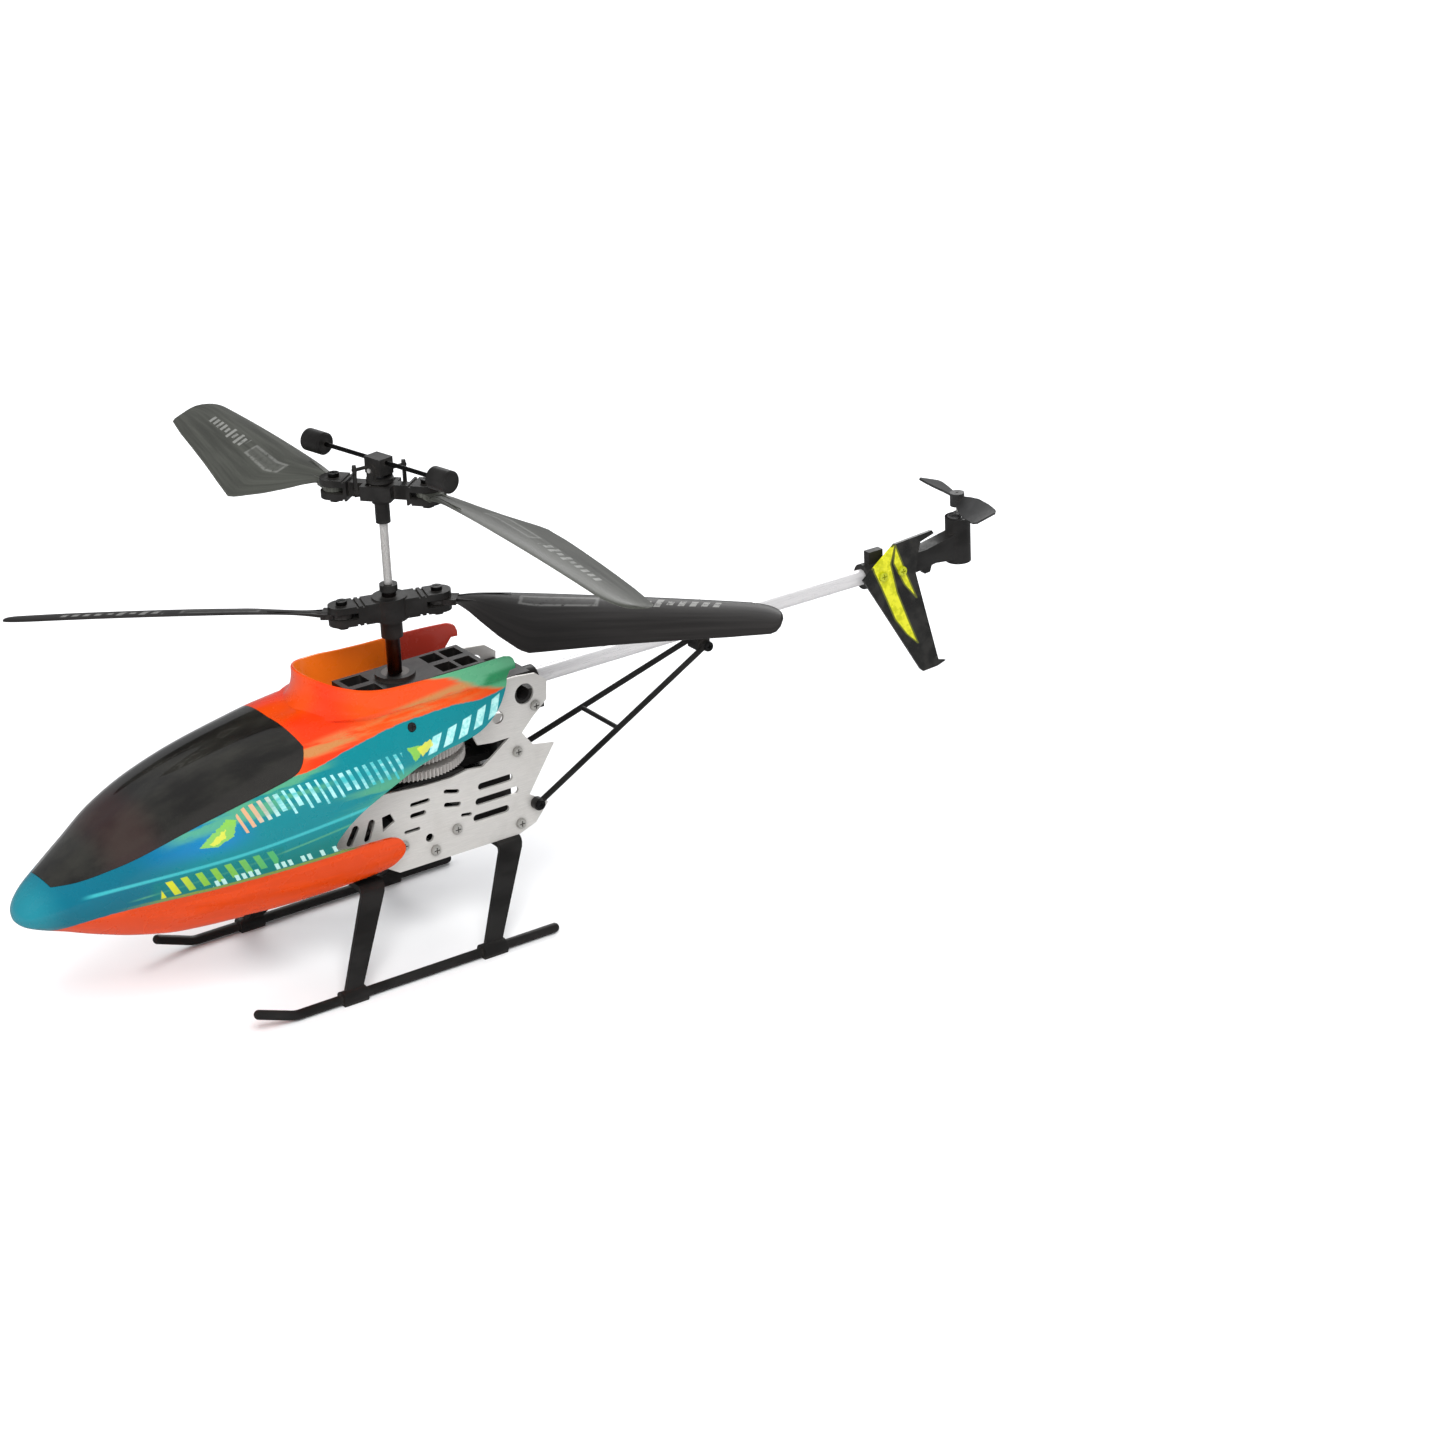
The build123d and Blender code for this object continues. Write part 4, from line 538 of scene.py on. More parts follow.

    # the far side of the skin: orange brightened as painted light under the hood, dark red towards the tips as painted
    # shade, bare further back
    geometry = p.tree.nodes.new("ShaderNodeNewGeometry")
    normal = p.tree.nodes.new("ShaderNodeSeparateXYZ")
    p.tree.links.new(geometry.outputs["Normal"], normal.inputs[0])
    inward = p.step(p.mul(normal.outputs[1], p.m("SIGN", y)), -0.15, -0.45)
    front_in = p.both(p.step(normal.outputs[0], -0.3, -0.6), p.gt(x, 30))
    inside = p.either(inward, front_in)
    lining = p.mix(p.step(p.add(x, p.mul(p.sub(streaks, 0.5), 6)), -6, -13), LINING_ORANGE, DARK_RED)
    lining = p.mix(p.step(z, 52.5, 51.0), lining, BARE_WHITE)
    body = p.mix(inside, body, lining)
    # painted shade: darker in corners and gaps found by ambient occlusion
    body = p.mix(p.mul(p.crevice(2.5), 0.35), body, (0.05, 0.045, 0.04))
    p.set("Base Color", body)
    p.set("Specular IOR Level", 0.3)

    smear = p.noise(vec, 0.10, 4.0, 0.6)
    hairline = p.step(p.noise(p.stretch(vec, 0.35, 1.2, 2.2), 1.1, 6.0, 0.75), 0.70, 0.73)
    p.set("Roughness", p.add(p.remap(smear, 0.3, 0.7, 0.2, 0.36), p.mul(hairline, 0.1)))
    peel = p.noise(vec, 0.9, 2.0, 0.5)
    p.set("Normal", p.bump(p.add(p.mul(peel, 0.8), p.mul(hairline, -0.15)), 0.10, 0.06))
    p.set("Coat Normal", p.bump(peel, 0.05, 0.06))
    return p.mat


def dark_glazing():
    """The almost black glossy windscreen, with faint moulding waves and dust."""
    p = Paint("windscreen_dark_gloss", Coat_Weight=1.0, Coat_Roughness=0.03, Specular_IOR_Level=0.55)
    vec, x, y, z = p.coords()
    haze = p.noise(p.stretch(vec, 0.03, 0.09, 0.09), 1.0, 4.0, 0.6)
    dust_and_shade = p.step(p.noise(vec, 3.0, 3.0, 0.7), 0.70, 0.76)
    base = p.mix(p.step(haze, 0.35, 0.7), srgb(22, 21, 19), srgb(44, 43, 38))
    lower = p.step(p.sub(z, p.curve(x, [(50, 60.6), (90, 49.5), (120, 38.5), (142, 27.0)], 0, 80)), 0.6, -0.6)
    base = p.mix(p.mul(lower, 0.6), base, srgb(40, 38, 36))
    base = p.mix(p.mul(p.between(x, 108, 124, 5), 0.12), base, srgb(90, 10, 20))
    base = p.mix(p.mul(dust_and_shade, 0.25), base, (0.3, 0.29, 0.27))
    p.set("Base Color", base)
    p.set("Roughness", p.add(p.remap(haze, 0.3, 0.7, 0.12, 0.24), p.mul(dust_and_shade, 0.2)))
    p.set("Normal", p.bump(haze, 0.06, 0.3))
    return p.mat


def blade_plastic(name, tone, marks):
    """A rotor blade's satin plastic, with faint lengthwise flow and a few pale printed bars."""
    p = Paint(name, Specular_IOR_Level=0.22)
    tex = p.tree.nodes.new("ShaderNodeUVMap")
    split = p.tree.nodes.new("ShaderNodeSeparateXYZ")
    p.tree.links.new(tex.outputs[0], split.inputs[0])
    u, v = split.outputs[0], split.outputs[1]
    vec, x, y, z = p.coords()
    flow = p.noise(p.node("ShaderNodeCombineXYZ", X=p.mul(u, 2.2), Y=p.mul(v, 11.0)), 1.0, 4.0, 0.6)
    fine = p.noise(vec, 4.5, 2.0, 0.6)
    base = p.mix(p.step(flow, 0.32, 0.7), tuple(c * 0.8 for c in tone), tuple(c * 1.35 for c in tone))
    rub = p.mul(p.step(p.absolute(p.sub(v, 0.5)), 0.47, 0.5), p.step(p.noise(vec, 0.6, 4.0), 0.4, 0.6))
    base = p.mix(p.mul(rub, 0.35), base, tuple(c * 2.6 + 0.02 for c in tone))
    scratch = p.step(p.noise(p.stretch(vec, 0.5, 2.0, 1.0), 1.4, 6.0, 0.75), 0.69, 0.72)
    base = p.mix(p.mul(scratch, 0.3), base, tuple(c * 2.0 + 0.02 for c in tone))
    # a worn printed frame and a row of slanted strokes
    across = p.sub(v, marks)
    lean = p.add(u, p.mul(across, 0.05))
    cell = p.node("ShaderNodeTexWhiteNoise", out=0, _noise_dimensions="1D", W=p.m("FLOOR", p.mul(lean, 30.0)))
    strokes = p.both(p.both(p.between(u, 0.52, 0.82, 0.004), p.lt(p.absolute(across), p.remap(cell, 0, 1, 0.05, 0.11))),
                     p.lt(p.fract(p.mul(lean, 30.0)), 0.55))
    outer = p.both(p.between(u, 0.24, 0.47, 0.004), p.between(across, -0.10, 0.10, 0.01))
    inner = p.both(p.between(u, 0.250, 0.460, 0.004), p.between(across, -0.065, 0.065, 0.01))
    rule = p.mul(p.sub(outer, p.mul(inner, 0.75)), 0.55)
    worn = p.step(p.noise(vec, 0.5, 4.0, 0.7), 0.30, 0.5)
    base = p.mix(p.mul(p.mul(p.either(strokes, rule), worn), 0.42), base, (0.42, 0.42, 0.40))
    p.set("Base Color", base)
    p.set("Roughness", p.add(p.remap(flow, 0.3, 0.7, 0.34, 0.47), p.mul(scratch, 0.1)))
    p.set("Normal", p.bump(p.add(p.mul(fine, 0.5), p.mul(flow, 0.6)), 0.14, 0.05))
    return p.mat


FIN_FLASHES = (
    [(-203.9, 54.4), (-212.5, 61.4), (-214.6, 61.8), (-212.3, 54.5), (-215.1, 42.3), (-219.9, 30.0),
     (-224.4, 19.0), (-219.2, 24.0), (-213.7, 31.7), (-207.5, 46.5)],
    [(-214.6, 61.8), (-216.5, 56.9), (-218.9, 50.6), (-224.2, 37.7), (-218.7, 44.4), (-213.6, 54.5)],
)


def fin_material():
    """The gloss-black fin with two yellow flashes, each with a dark rim."""
    p = Paint("fin_black_yellow", Coat_Weight=0.12, Coat_Roughness=0.1, Specular_IOR_Level=0.25)
    vec, x, y, z = p.coords()
    grain = p.noise(vec, 4.0, 2.0)
    smudge = p.noise(vec, 0.2, 4.0)
    base = p.mix(p.step(smudge, 0.4, 0.65), srgb(24, 24, 23), srgb(40, 39, 37))
    flash = rim = None
    for outline in FIN_FLASHES:
        inside, wide = p.span(x, z, outline, 0.35), p.span(x, z, outline, -0.35)
        flash = inside if flash is None else p.either(flash, inside)
        rim = wide if rim is None else p.either(rim, wide)
    worn = p.step(p.noise(vec, 0.9, 4.0, 0.7), 0.24, 0.36)
    yellow = p.mix(p.step(p.noise(vec, 0.4, 2.0), 0.4, 0.6), srgb(178, 180, 14), srgb(206, 204, 34))
    base = p.mix(p.mul(rim, 0.9), base, srgb(92, 96, 30))
    print_on = p.mul(flash, worn)
    base = p.mix(print_on, base, yellow)
    p.set("Base Color", base)
    p.set("Roughness", p.remap(smudge, 0.3, 0.7, 0.24, 0.4))
    p.set("Normal", p.bump(p.add(p.mul(grain, 0.6), p.mul(print_on, 0.5)), 0.15, 0.05))
    return p.mat


def board_material():
    """Solder mask over copper tracks, with round pads."""
    p = Paint("board_green", Coat_Weight=0.6, Coat_Roughness=0.15)
    vec, x, y, z = p.coords()
    tracks = p.step(p.absolute(p.sub(p.fract(p.mul(p.add(x, p.mul(p.m("SINE", p.mul(y, 0.6)), 1.4)), 0.55)), 0.5)), 0.13, 0.10)
    pads = p.step(p.voronoi(vec, 0.45), 0.22, 0.16)
    weave = p.noise(p.stretch(vec, 3.0, 0.4, 1.0), 2.0, 2.0)
    base = p.mix(p.mul(tracks, 0.5), p.mix(weave, (0.012, 0.10, 0.035), (0.02, 0.15, 0.05)), (0.05, 0.26, 0.09))
    base = p.mix(pads, base, (0.55, 0.53, 0.48))
    p.set("Base Color", base)
    p.set("Metallic", p.mul(pads, 0.9))
    p.set("Roughness", p.remap(weave, 0.3, 0.7, 0.3, 0.42))
    p.set("Normal", p.bump(p.add(tracks, pads), 0.3, 0.05))
    return p.mat


def wrap_material():
    """Shrink-wrapped battery: creased film with a plain band."""
    p = Paint("battery_film", Coat_Weight=0.7, Coat_Roughness=0.1)
    vec, x, y, z = p.coords()
    crease = p.noise(p.stretch(vec, 0.5, 0.12, 0.12), 1.5, 5.0, 0.65)
    band = p.between(x, 62, 84, 0.2)
    base = p.mix(band, srgb(24, 70, 150), srgb(200, 204, 206))
    base = p.mix(p.mul(p.step(crease, 0.55, 0.7), 0.2), base, (0.4, 0.45, 0.5))
    p.set("Base Color", base)
    p.set("Roughness", p.remap(crease, 0.3, 0.7, 0.2, 0.38))
    p.set("Normal", p.bump(crease, 0.5, 0.3))
    return p.mat


def lamp_material():
    """The tinted lamp lens, with faint cloudy patches."""
    p = Paint("lamp_red_lens", Transmission_Weight=0.5, Coat_Weight=1.0)
    vec, x, y, z = p.coords()
    cloud = p.noise(vec, 0.8, 3.0)
    p.set("Base Color", p.mix(p.step(cloud, 0.4, 0.6), (0.5, 0.01, 0.02), (0.7, 0.05, 0.05)))
    p.set("Roughness", p.remap(cloud, 0.3, 0.7, 0.08, 0.25))
    p.set("Normal", p.bump(cloud, 0.1, 0.1))
    return p.mat


BLACK = srgb(27, 26, 25)
MATERIALS = {
    "plate_metal": metal("plate_brushed", srgb(220, 217, 212), 0.36, (0.12, 3.0, 5.0), 0.22, age=0.10, bright=0.35),
    "screw_steel": metal("screw_zinc", srgb(196, 194, 188), 0.3, (4.0, 4.0, 4.0), 0.3, bright=0.6),
    "dark_steel": metal("screw_blackened", srgb(52, 52, 52), 0.34, (4.0, 4.0, 4.0), 0.3),
    "shaft_steel": metal("shaft_ground", srgb(208, 206, 203), 0.26, (5.0, 5.0, 0.2), 0.2, age=0.06, bright=0.6),
    "motor_steel": metal("motor_can", srgb(190, 190, 190), 0.24, (1.0, 1.0, 5.0), 0.25),
    "boom_aluminium": metal("boom_drawn", srgb(226, 224, 224), 0.3, (0.05, 5.0, 5.0), 0.3, age=0.05, bright=0.35),
    "pinion_brass": metal("pinion_brass", srgb(206, 168, 90), 0.28, (1.0, 1.0, 6.0), 0.3),
    "black_plastic": moulded("black_moulding", BLACK, 0.4, 0.3),
    "gear_plastic": moulded("gear_nylon", srgb(168, 164, 160), 0.45, 0.2, tint=0.08),
    "blade_plastic": moulded("propeller_moulding", srgb(44, 44, 44), 0.38, 0.2),
    "fin_plastic": fin_material(),
    "canopy_paint": canopy_paint(),
    "dark_glazing": dark_glazing(),
    "battery_wrap": wrap_material(),
    "board_resin": board_material(),
    "wire_rubber": moulded("wire_skin", srgb(150, 24, 22), 0.5, 0.15),
    "lamp_red": lamp_material(),
}
UPPER_BLADE = blade_plastic("upper_blade_satin", srgb(64, 65, 60), 0.42)
LOWER_BLADE = blade_plastic("lower_blade_satin", srgb(30, 28, 27), 0.2)

# ---------------------------------------------------------------- CAD nodes that are carried over

def blackened_screws():
    """Blackened screws; the two on the fin are painted with its yellow flash."""
    p = Paint("screws_blackened_painted", Specular_IOR_Level=0.5)
    vec, x, y, z = p.coords()
    tool = p.noise(vec, 4.0, 3.0)
    worn = p.step(p.noise(vec, 1.6, 4.0, 0.7), 0.3, 0.45)
    steel = p.mix(tool, srgb(34, 34, 34), srgb(60, 60, 60))
    painted = p.mul(p.lt(x, -200.0), p.remap(worn, 0, 1, 0.7, 1.0))
    p.set("Base Color", p.mix(painted, steel, srgb(168, 174, 18)))
    p.set("Metallic", p.remap(painted, 0, 1, 0.9, 0.0))
    p.set("Roughness", p.remap(tool, 0.3, 0.7, 0.32, 0.46))
    p.set("Normal", p.bump(tool, 0.3, 0.05))
    return p.mat


NODE_FINISH = {
    "black_screws": blackened_screws(),
    "outer_shaft": metal("sleeve_blackened", srgb(58, 50, 50), 0.3, (5.0, 5.0, 0.2), 0.3),
    "shaft_bearings": metal("bearing_oiled", srgb(96, 92, 90), 0.34, (2.0, 2.0, 2.0), 0.3),
    "canopy_pegs": moulded("peg_moulding", srgb(24, 24, 26), 0.45, 0.3),
}
EDGE_ROUND = {
    "left_side_plate": 0.12, "right_side_plate": 0.12, "frame_spacers": 0.15, "frame_screws": 0.1,
    "lower_bearing_block": 0.25, "upper_bearing_block": 0.3, "motor_mount": 0.25, "lower_rotor_hub": 0.28,
    "upper_blade_grip": 0.28, "upper_head": 0.22, "flybar_seat": 0.25, "boom_holder": 0.3, "boom_supports": 0.12,
    "boom_clamp": 0.25, "tail_fin": 0.2, "tail_motor_mount": 0.3, "tail_motor": 0.15, "front_landing_strut": 0.35,
    "rear_landing_strut": 0.35, "strut_bases": 0.25, "battery_tray": 0.3, "battery_pack": 0.2,
    "receiver_board": 0.08, "board_components": 0.15, "switch_housing": 0.2, "switch_slider": 0.15,
    "charge_socket": 0.2, "frame_floor": 0.15, "drive_motors": 0.15, "shaft_bearings": 0.12,
    "flybar_weights": 0.2, "ball_link_a": 0.1, "ball_link_b": 0.1, "lower_blade_bolts": 0.12,
    "upper_blade_bolts": 0.12, "black_screws": 0.1, "landing_skids": 0.3,
    "lower_main_gear": 0.06, "upper_main_gear": 0.06, "front_pinion": 0.05, "rear_pinion": 0.05,
    "tail_rotor": 0.12, "canopy_pegs": 0.12, "shaft_collar": 0.15,
}
slots = {s["node"]: s["material_slot"] for s in frame["record"]["subparts"]}
for name, obj in nodes.items():
    obj.data.materials.clear()
    obj.data.materials.append(NODE_FINISH.get(name, MATERIALS[slots[name]]))
    smooth_by_angle(obj, 32)
    if name in EDGE_ROUND:
        bevel(obj, EDGE_ROUND[name], 2, 40)

# ---------------------------------------------------------------- canopy

# x, top z, shoulder y z, waist y z, chine y z, keel y z; heights from the ground
CANOPY_STATIONS = [
    (153.0, 51.0, 0.01, 51.0, 0.01, 51.0, 0.01, 51.0, 0.01, 51.0),
    (151.0, 56.2, 4.4, 55.2, 6.8, 52.4, 5.4, 49.8, 3.0, 48.6),
    (146.5, 60.4, 7.0, 59.0, 10.8, 53.8, 9.2, 49.2, 5.2, 47.0),
    (139.0, 65.6, 9.8, 62.8, 15.0, 56.2, 13.2, 49.4, 7.8, 45.0),
    (128.0, 72.0, 13.0, 68.8, 19.4, 59.0, 17.4, 49.8, 10.4, 41.4),
    (114.0, 80.0, 17.2, 76.2, 23.2, 61.2, 20.8, 50.4, 12.6, 37.4),
    (98.0, 86.2, 20.0, 82.2, 25.8, 62.6, 22.8, 50.4, 14.6, 34.6),
    (80.0, 91.0, 20.9, 87.4, 27.4, 63.4, 24.0, 49.8, 16.4, 33.8),
    (62.0, 94.8, 21.4, 91.0, 28.2, 64.2, 24.8, 49.2, 18.0, 33.6),
    (46.0, 97.0, 22.2, 93.4, 28.4, 65.2, 25.2, 49.2, 19.2, 34.0),
    (28.0, 97.8, 23.2, 94.6, 28.2, 66.4, 25.2, 49.6, 20.0, 35.0),
    (8.0, 97.8, 23.4, 95.0, 27.4, 68.4, 24.8, 50.4, 20.2, 37.0),
    (-14.0, 97.6, 22.8, 95.4, 25.4, 70.6, 23.4, 52.0, 20.0, 40.0),
    (-38.0, 96.8, 20.6, 95.2, 22.4, 72.6, 20.8, 54.0, 18.6, 43.0),
    (-60.0, 95.8, 14.8, 94.6, 17.0, 74.0, 15.8, 56.0, 14.0, 46.0),
]
NOSE_X = 153.0
_station_s = [sqrt(NOSE_X - s[0]) for s in CANOPY_STATIONS]
_station_curves = [pchip(_station_s, [s[i] for s in CANOPY_STATIONS]) for i in range(1, 10)]


def canopy_ring(x, depth=0.0, per_side=12):
    """One closed section of the canopy's skin, a depth inside its outer face."""
    s = sqrt(max(NOSE_X - x, 0.0))
    top, sy, sz, wy, wz, cy, cz, ky, kz = (c(s) for c in _station_curves)
    corners = [(0.0, top), (sy, sz), (wy, wz), (cy, cz), (ky, kz), (0.0, kz - 0.25 * min(1.0, ky / 6))]
    half = []
    for i, (a, b) in enumerate(zip(corners, corners[1:])):
        dy, dz = b[0] - a[0], b[1] - a[1]
        bulge = (0.13 if i == 0 else 0.10 if i == 1 else 0.055 if i < 4 else 0.02)
        for k in range(per_side):
            t = k / per_side
            lift = 4 * t * (1 - t) * bulge if i else (1 - (1 - t) ** 2 - t) * 0.34
            half.append((a[0] + dy * t - dz * lift, a[1] + dz * t + dy * lift))
    half.append(corners[-1])
    ring = half + [(-y, z) for y, z in reversed(half[1:-1])]
    for _ in range(2):
        ring = [((ring[i - 1][0] + 2 * y + ring[(i + 1) % len(ring)][0]) / 4,
                 (ring[i - 1][1] + 2 * z + ring[(i + 1) % len(ring)][1]) / 4) for i, (y, z) in enumerate(ring)]
    if depth:
        moved = []
        n = len(ring)
        for i, (y, z) in enumerate(ring):
            before, after = ring[i - 2], ring[(i + 2) % n]
            dy, dz = after[0] - before[0], after[1] - before[1]
            size = hypot(dy, dz) or 1.0
            moved.append((y + depth * dz / size, z - depth * dy / size))
        ring = moved
    return [(x, y, z + GROUND_Z) for y, z in ring]


def canopy_solid(name, depth=0.0, front=0.03, rear=-60.0):
    """The canopy's outer form as a closed solid."""
    s0, s1 = sqrt(front), sqrt(NOSE_X - rear)
    count = 84
    xs = [NOSE_X - (s0 + (s1 - s0) * i / count) ** 2 for i in range(count + 1)]
    return rings_to_mesh(name, [canopy_ring(x, depth) for x in xs])


def smooth_outline(points, steps=5, corners=()):
    """A closed outline rounded through its points, with some corners kept sharp."""
    n = len(points)
    out = []
    for i in range(n):
        a, b, c, d = (points[(i + k - 1) % n] for k in range(4))
        if i in corners:
            a = b
        if (i + 1) % n in corners:
            d = c
        for k in range(steps):
            t = k / steps
            out.append(tuple(
                0.5 * (2 * b[j] + (c[j] - a[j]) * t + (2 * a[j] - 5 * b[j] + 4 * c[j] - d[j]) * t * t
                       + (3 * b[j] - a[j] - 3 * c[j] + d[j]) * t ** 3) for j in (0, 1)))
    return out


GLASS_OUTLINE = [
    (146.0, 40.0), (141.6, 30.4), (133.0, 32.4), (118.0, 37.0), (98.0, 43.4), (80.0, 47.6),
    (66.0, 50.4), (54.4, 53.6), (50.0, 60.5), (51.5, 65.0), (51.5, 80.0), (120.0, 80.0),
]
SIDE_OPENING = [
    (-72, -12), (14, -12), (24.0, 1.6), (18.0, 5.6), (14.6, 9.5), (15.0, 14.0), (20.0, 18.0),
    (38.0, 19.2), (43.2, 22.2), (40.5, 27.0), (34.0, 32.0), (25.0, 36.6), (17.0, 40.2),
    (9.2, 43.3), (4.1, 44.6), (-1.0, 45.8), (-9.2, 46.7), (-15.0, 47.6), (-19.0, 49.0),
    (-23.5, 51.8), (-27.0, 55.0), (-29.9, 58.6), (-32.6, 62.6), (-34.4, 65.0), (-72, 65.0),
]
HOOD_R, HOOD_X = 22.0, 16.0
WALL = 1.2
_hood_y = pchip([-60, -49, -38, -12, 16], [14.0, 17.2, 19.8, 21.9, 22.0])
HOOD_REAR_X = -37.1
_lip_z = pchip([-38, -33, -18, -2, 12, 24, 33, 38.6], [70.2, 70.7, 71.1, 71.3, 71.9, 73.3, 75.5, 77.5])


def hood_path():
    """Points round the collar from the left rear tip to the right one, with outward normals."""
    pts = []
    for i in range(40):
        x = HOOD_REAR_X + (HOOD_X - HOOD_REAR_X) * (i / 40) ** 1.25
        pts.append((x, _hood_y(x)))
    for i in range(41):
        a = pi / 2 - pi * i / 40
        pts.append((HOOD_X + HOOD_R * cos(a), HOOD_R * sin(a)))
    pts += [(x, -y) for x, y in reversed(pts[:40])]
    out = []
    for i, (x, y) in enumerate(pts):
        a, b = pts[max(i - 1, 0)], pts[min(i + 1, len(pts) - 1)]
        dx, dy = b[0] - a[0], b[1] - a[1]
        size = hypot(dx, dy)
        out.append((x, y, -dy / size, dx / size))
    return [(x, y, nx, ny) if nx * (x - 0) + ny * y > 0 or x > HOOD_X else (x, y, -nx, -ny) for x, y, nx, ny in out]


def hood_collar():
    """The raised collar round the roof opening: thin wall, round lip and a swept foot in front."""
    rings = []
    for x, y, nx, ny in hood_path():
        lip = _lip_z(x)
        if x < -32.6:
            lip -= 3.0 * (1 - sqrt(max(0.0, 1 - ((-32.6 - x) / 4.5) ** 2)))
        foot = 52.5
        front = max(0.0, nx)
        flare = 0.35 + 7.5 * front ** 1.6
        s = sqrt(max(NOSE_X - (x + nx * flare), 0.0))
        roof = _station_curves[0](s) + GROUND_Z - 1.0
        profile = [(-WALL, foot), (-WALL, lip - 0.7), (-WALL * 0.86, lip - 0.22), (-WALL * 0.5, lip),
                   (-WALL * 0.14, lip - 0.22), (0.0, lip - 0.7)]
        z_top, z_low = lip - 0.7, min(roof, lip - 1.2)
        for k in range(1, 11):
            t = k / 10
            profile.append((flare * (1 - sqrt(max(0.0, 1 - t ** 2.2))), z_top + (z_low - z_top) * t ** 0.9))
        profile.append((0.0, min(z_low - 0.8, foot + 1.0)))
        rings.append([(x + nx * u, y + ny * u, z) for u, z in profile])
    return rings_to_mesh("hood_collar", rings)


def hatch_cutter():
    """The space inside the collar."""
    outline = [(x - nx * (WALL - 0.02), y - ny * (WALL - 0.02)) for x, y, nx, ny in hood_path()]
    outline = [(-75.0, outline[0][1])] + outline + [(-75.0, outline[-1][1])]
    rings = [[(x, y, z) for x, y in outline] for z in (50.0, 110.0)]
    return rings_to_mesh("hatch", rings)


def build_canopy():
    """The painted skin and the dark glass, cut from one thin shell."""
    skin = canopy_solid("canopy_skin")
    boolean(skin, canopy_solid("inner", depth=WALL, front=1.6, rear=-66.0))
    glass = skin.copy()
    glass.data = skin.data.copy()
    glass.name = "windscreen_glass"
    bpy.context.scene.collection.objects.link(glass)
    outline = smooth_outline(GLASS_OUTLINE, 6, corners=(0, 1, 8, 9, 10, 11))
    boolean(glass, prism_y("pane", outline, -45, 45), "INTERSECT")
    wider = [(x + (0.12 if x > 100 else -0.12 if x < 53 else 0.0), z - 0.14) for x, z in outline]
    boolean(skin, prism_y("pane_gap", wider, -45, 45))
    boolean(skin, hatch_cutter())
    boolean(skin, hood_collar(), "UNION")
    opening = smooth_outline(SIDE_OPENING, 5, corners=(0, 1, 23, 24))
    boolean(skin, prism_y("opening", opening, -45, 45))
    boolean(skin, box("belly_gap", (-70, -17.6, -12), (76, 17.6, 28)))
    boolean(skin, box("tail_trim", (-75, -30, 50), (-37.6, 30, 90)))
    x, z = 9.5, 57.5
    for side in (-1, 1):
        boolean(skin, tube("peg_hole", [(x, side * 23.6, z), (x, side * 30, z)], 1.1, sides=24))
        boolean(skin, tube("peg_seat", [(x, side * 25.2, z), (x, side * 30, z)], 1.7, sides=24))
    for obj, paint in ((skin, "canopy_paint"), (glass, "dark_glazing")):
        tidy_normals(obj)
        obj.data.materials.clear()
        obj.data.materials.append(MATERIALS[paint])
        smooth_by_angle(obj, 30)
        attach(obj, "airframe")
    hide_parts("canopy_shell")
    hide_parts("windscreen")
    return skin, glass


canopy, glass = build_canopy()

# ---------------------------------------------------------------- rotor blades

BOLT_R = 17.0
BLADE_LEAD = [(5.0, 3.4), (8, 3.6), (14, 3.9), (30, 4.0), (108, 4.0), (113.5, 3.5), (117.5, 2.3), (120.2, 0.4), (121.6, -2.0), (122.0, -4.2)]
BLADE_TRAIL = [(5.0, -3.4), (8, -3.9), (12, -7.0), (17, -11.8), (25, -19.2), (33, -25.6), (36.4, -27.0), (50, -25.0),
               (68, -22.0), (86, -19.2), (104, -16.4), (114, -14.4), (118.6, -13.4), (120.4, -11.8), (121.6, -8.6), (122.0, -4.6)]
BLADE_PITCH = pchip([5, 7, 11, 17, 25, 37, 50, 86, 122], [0, 2, 11, 18, 20, 20, 19, 17, 15])


def line_lookup(points):
    xs, ys = zip(*points)
    return lambda x: float(np.interp(x, xs, ys))


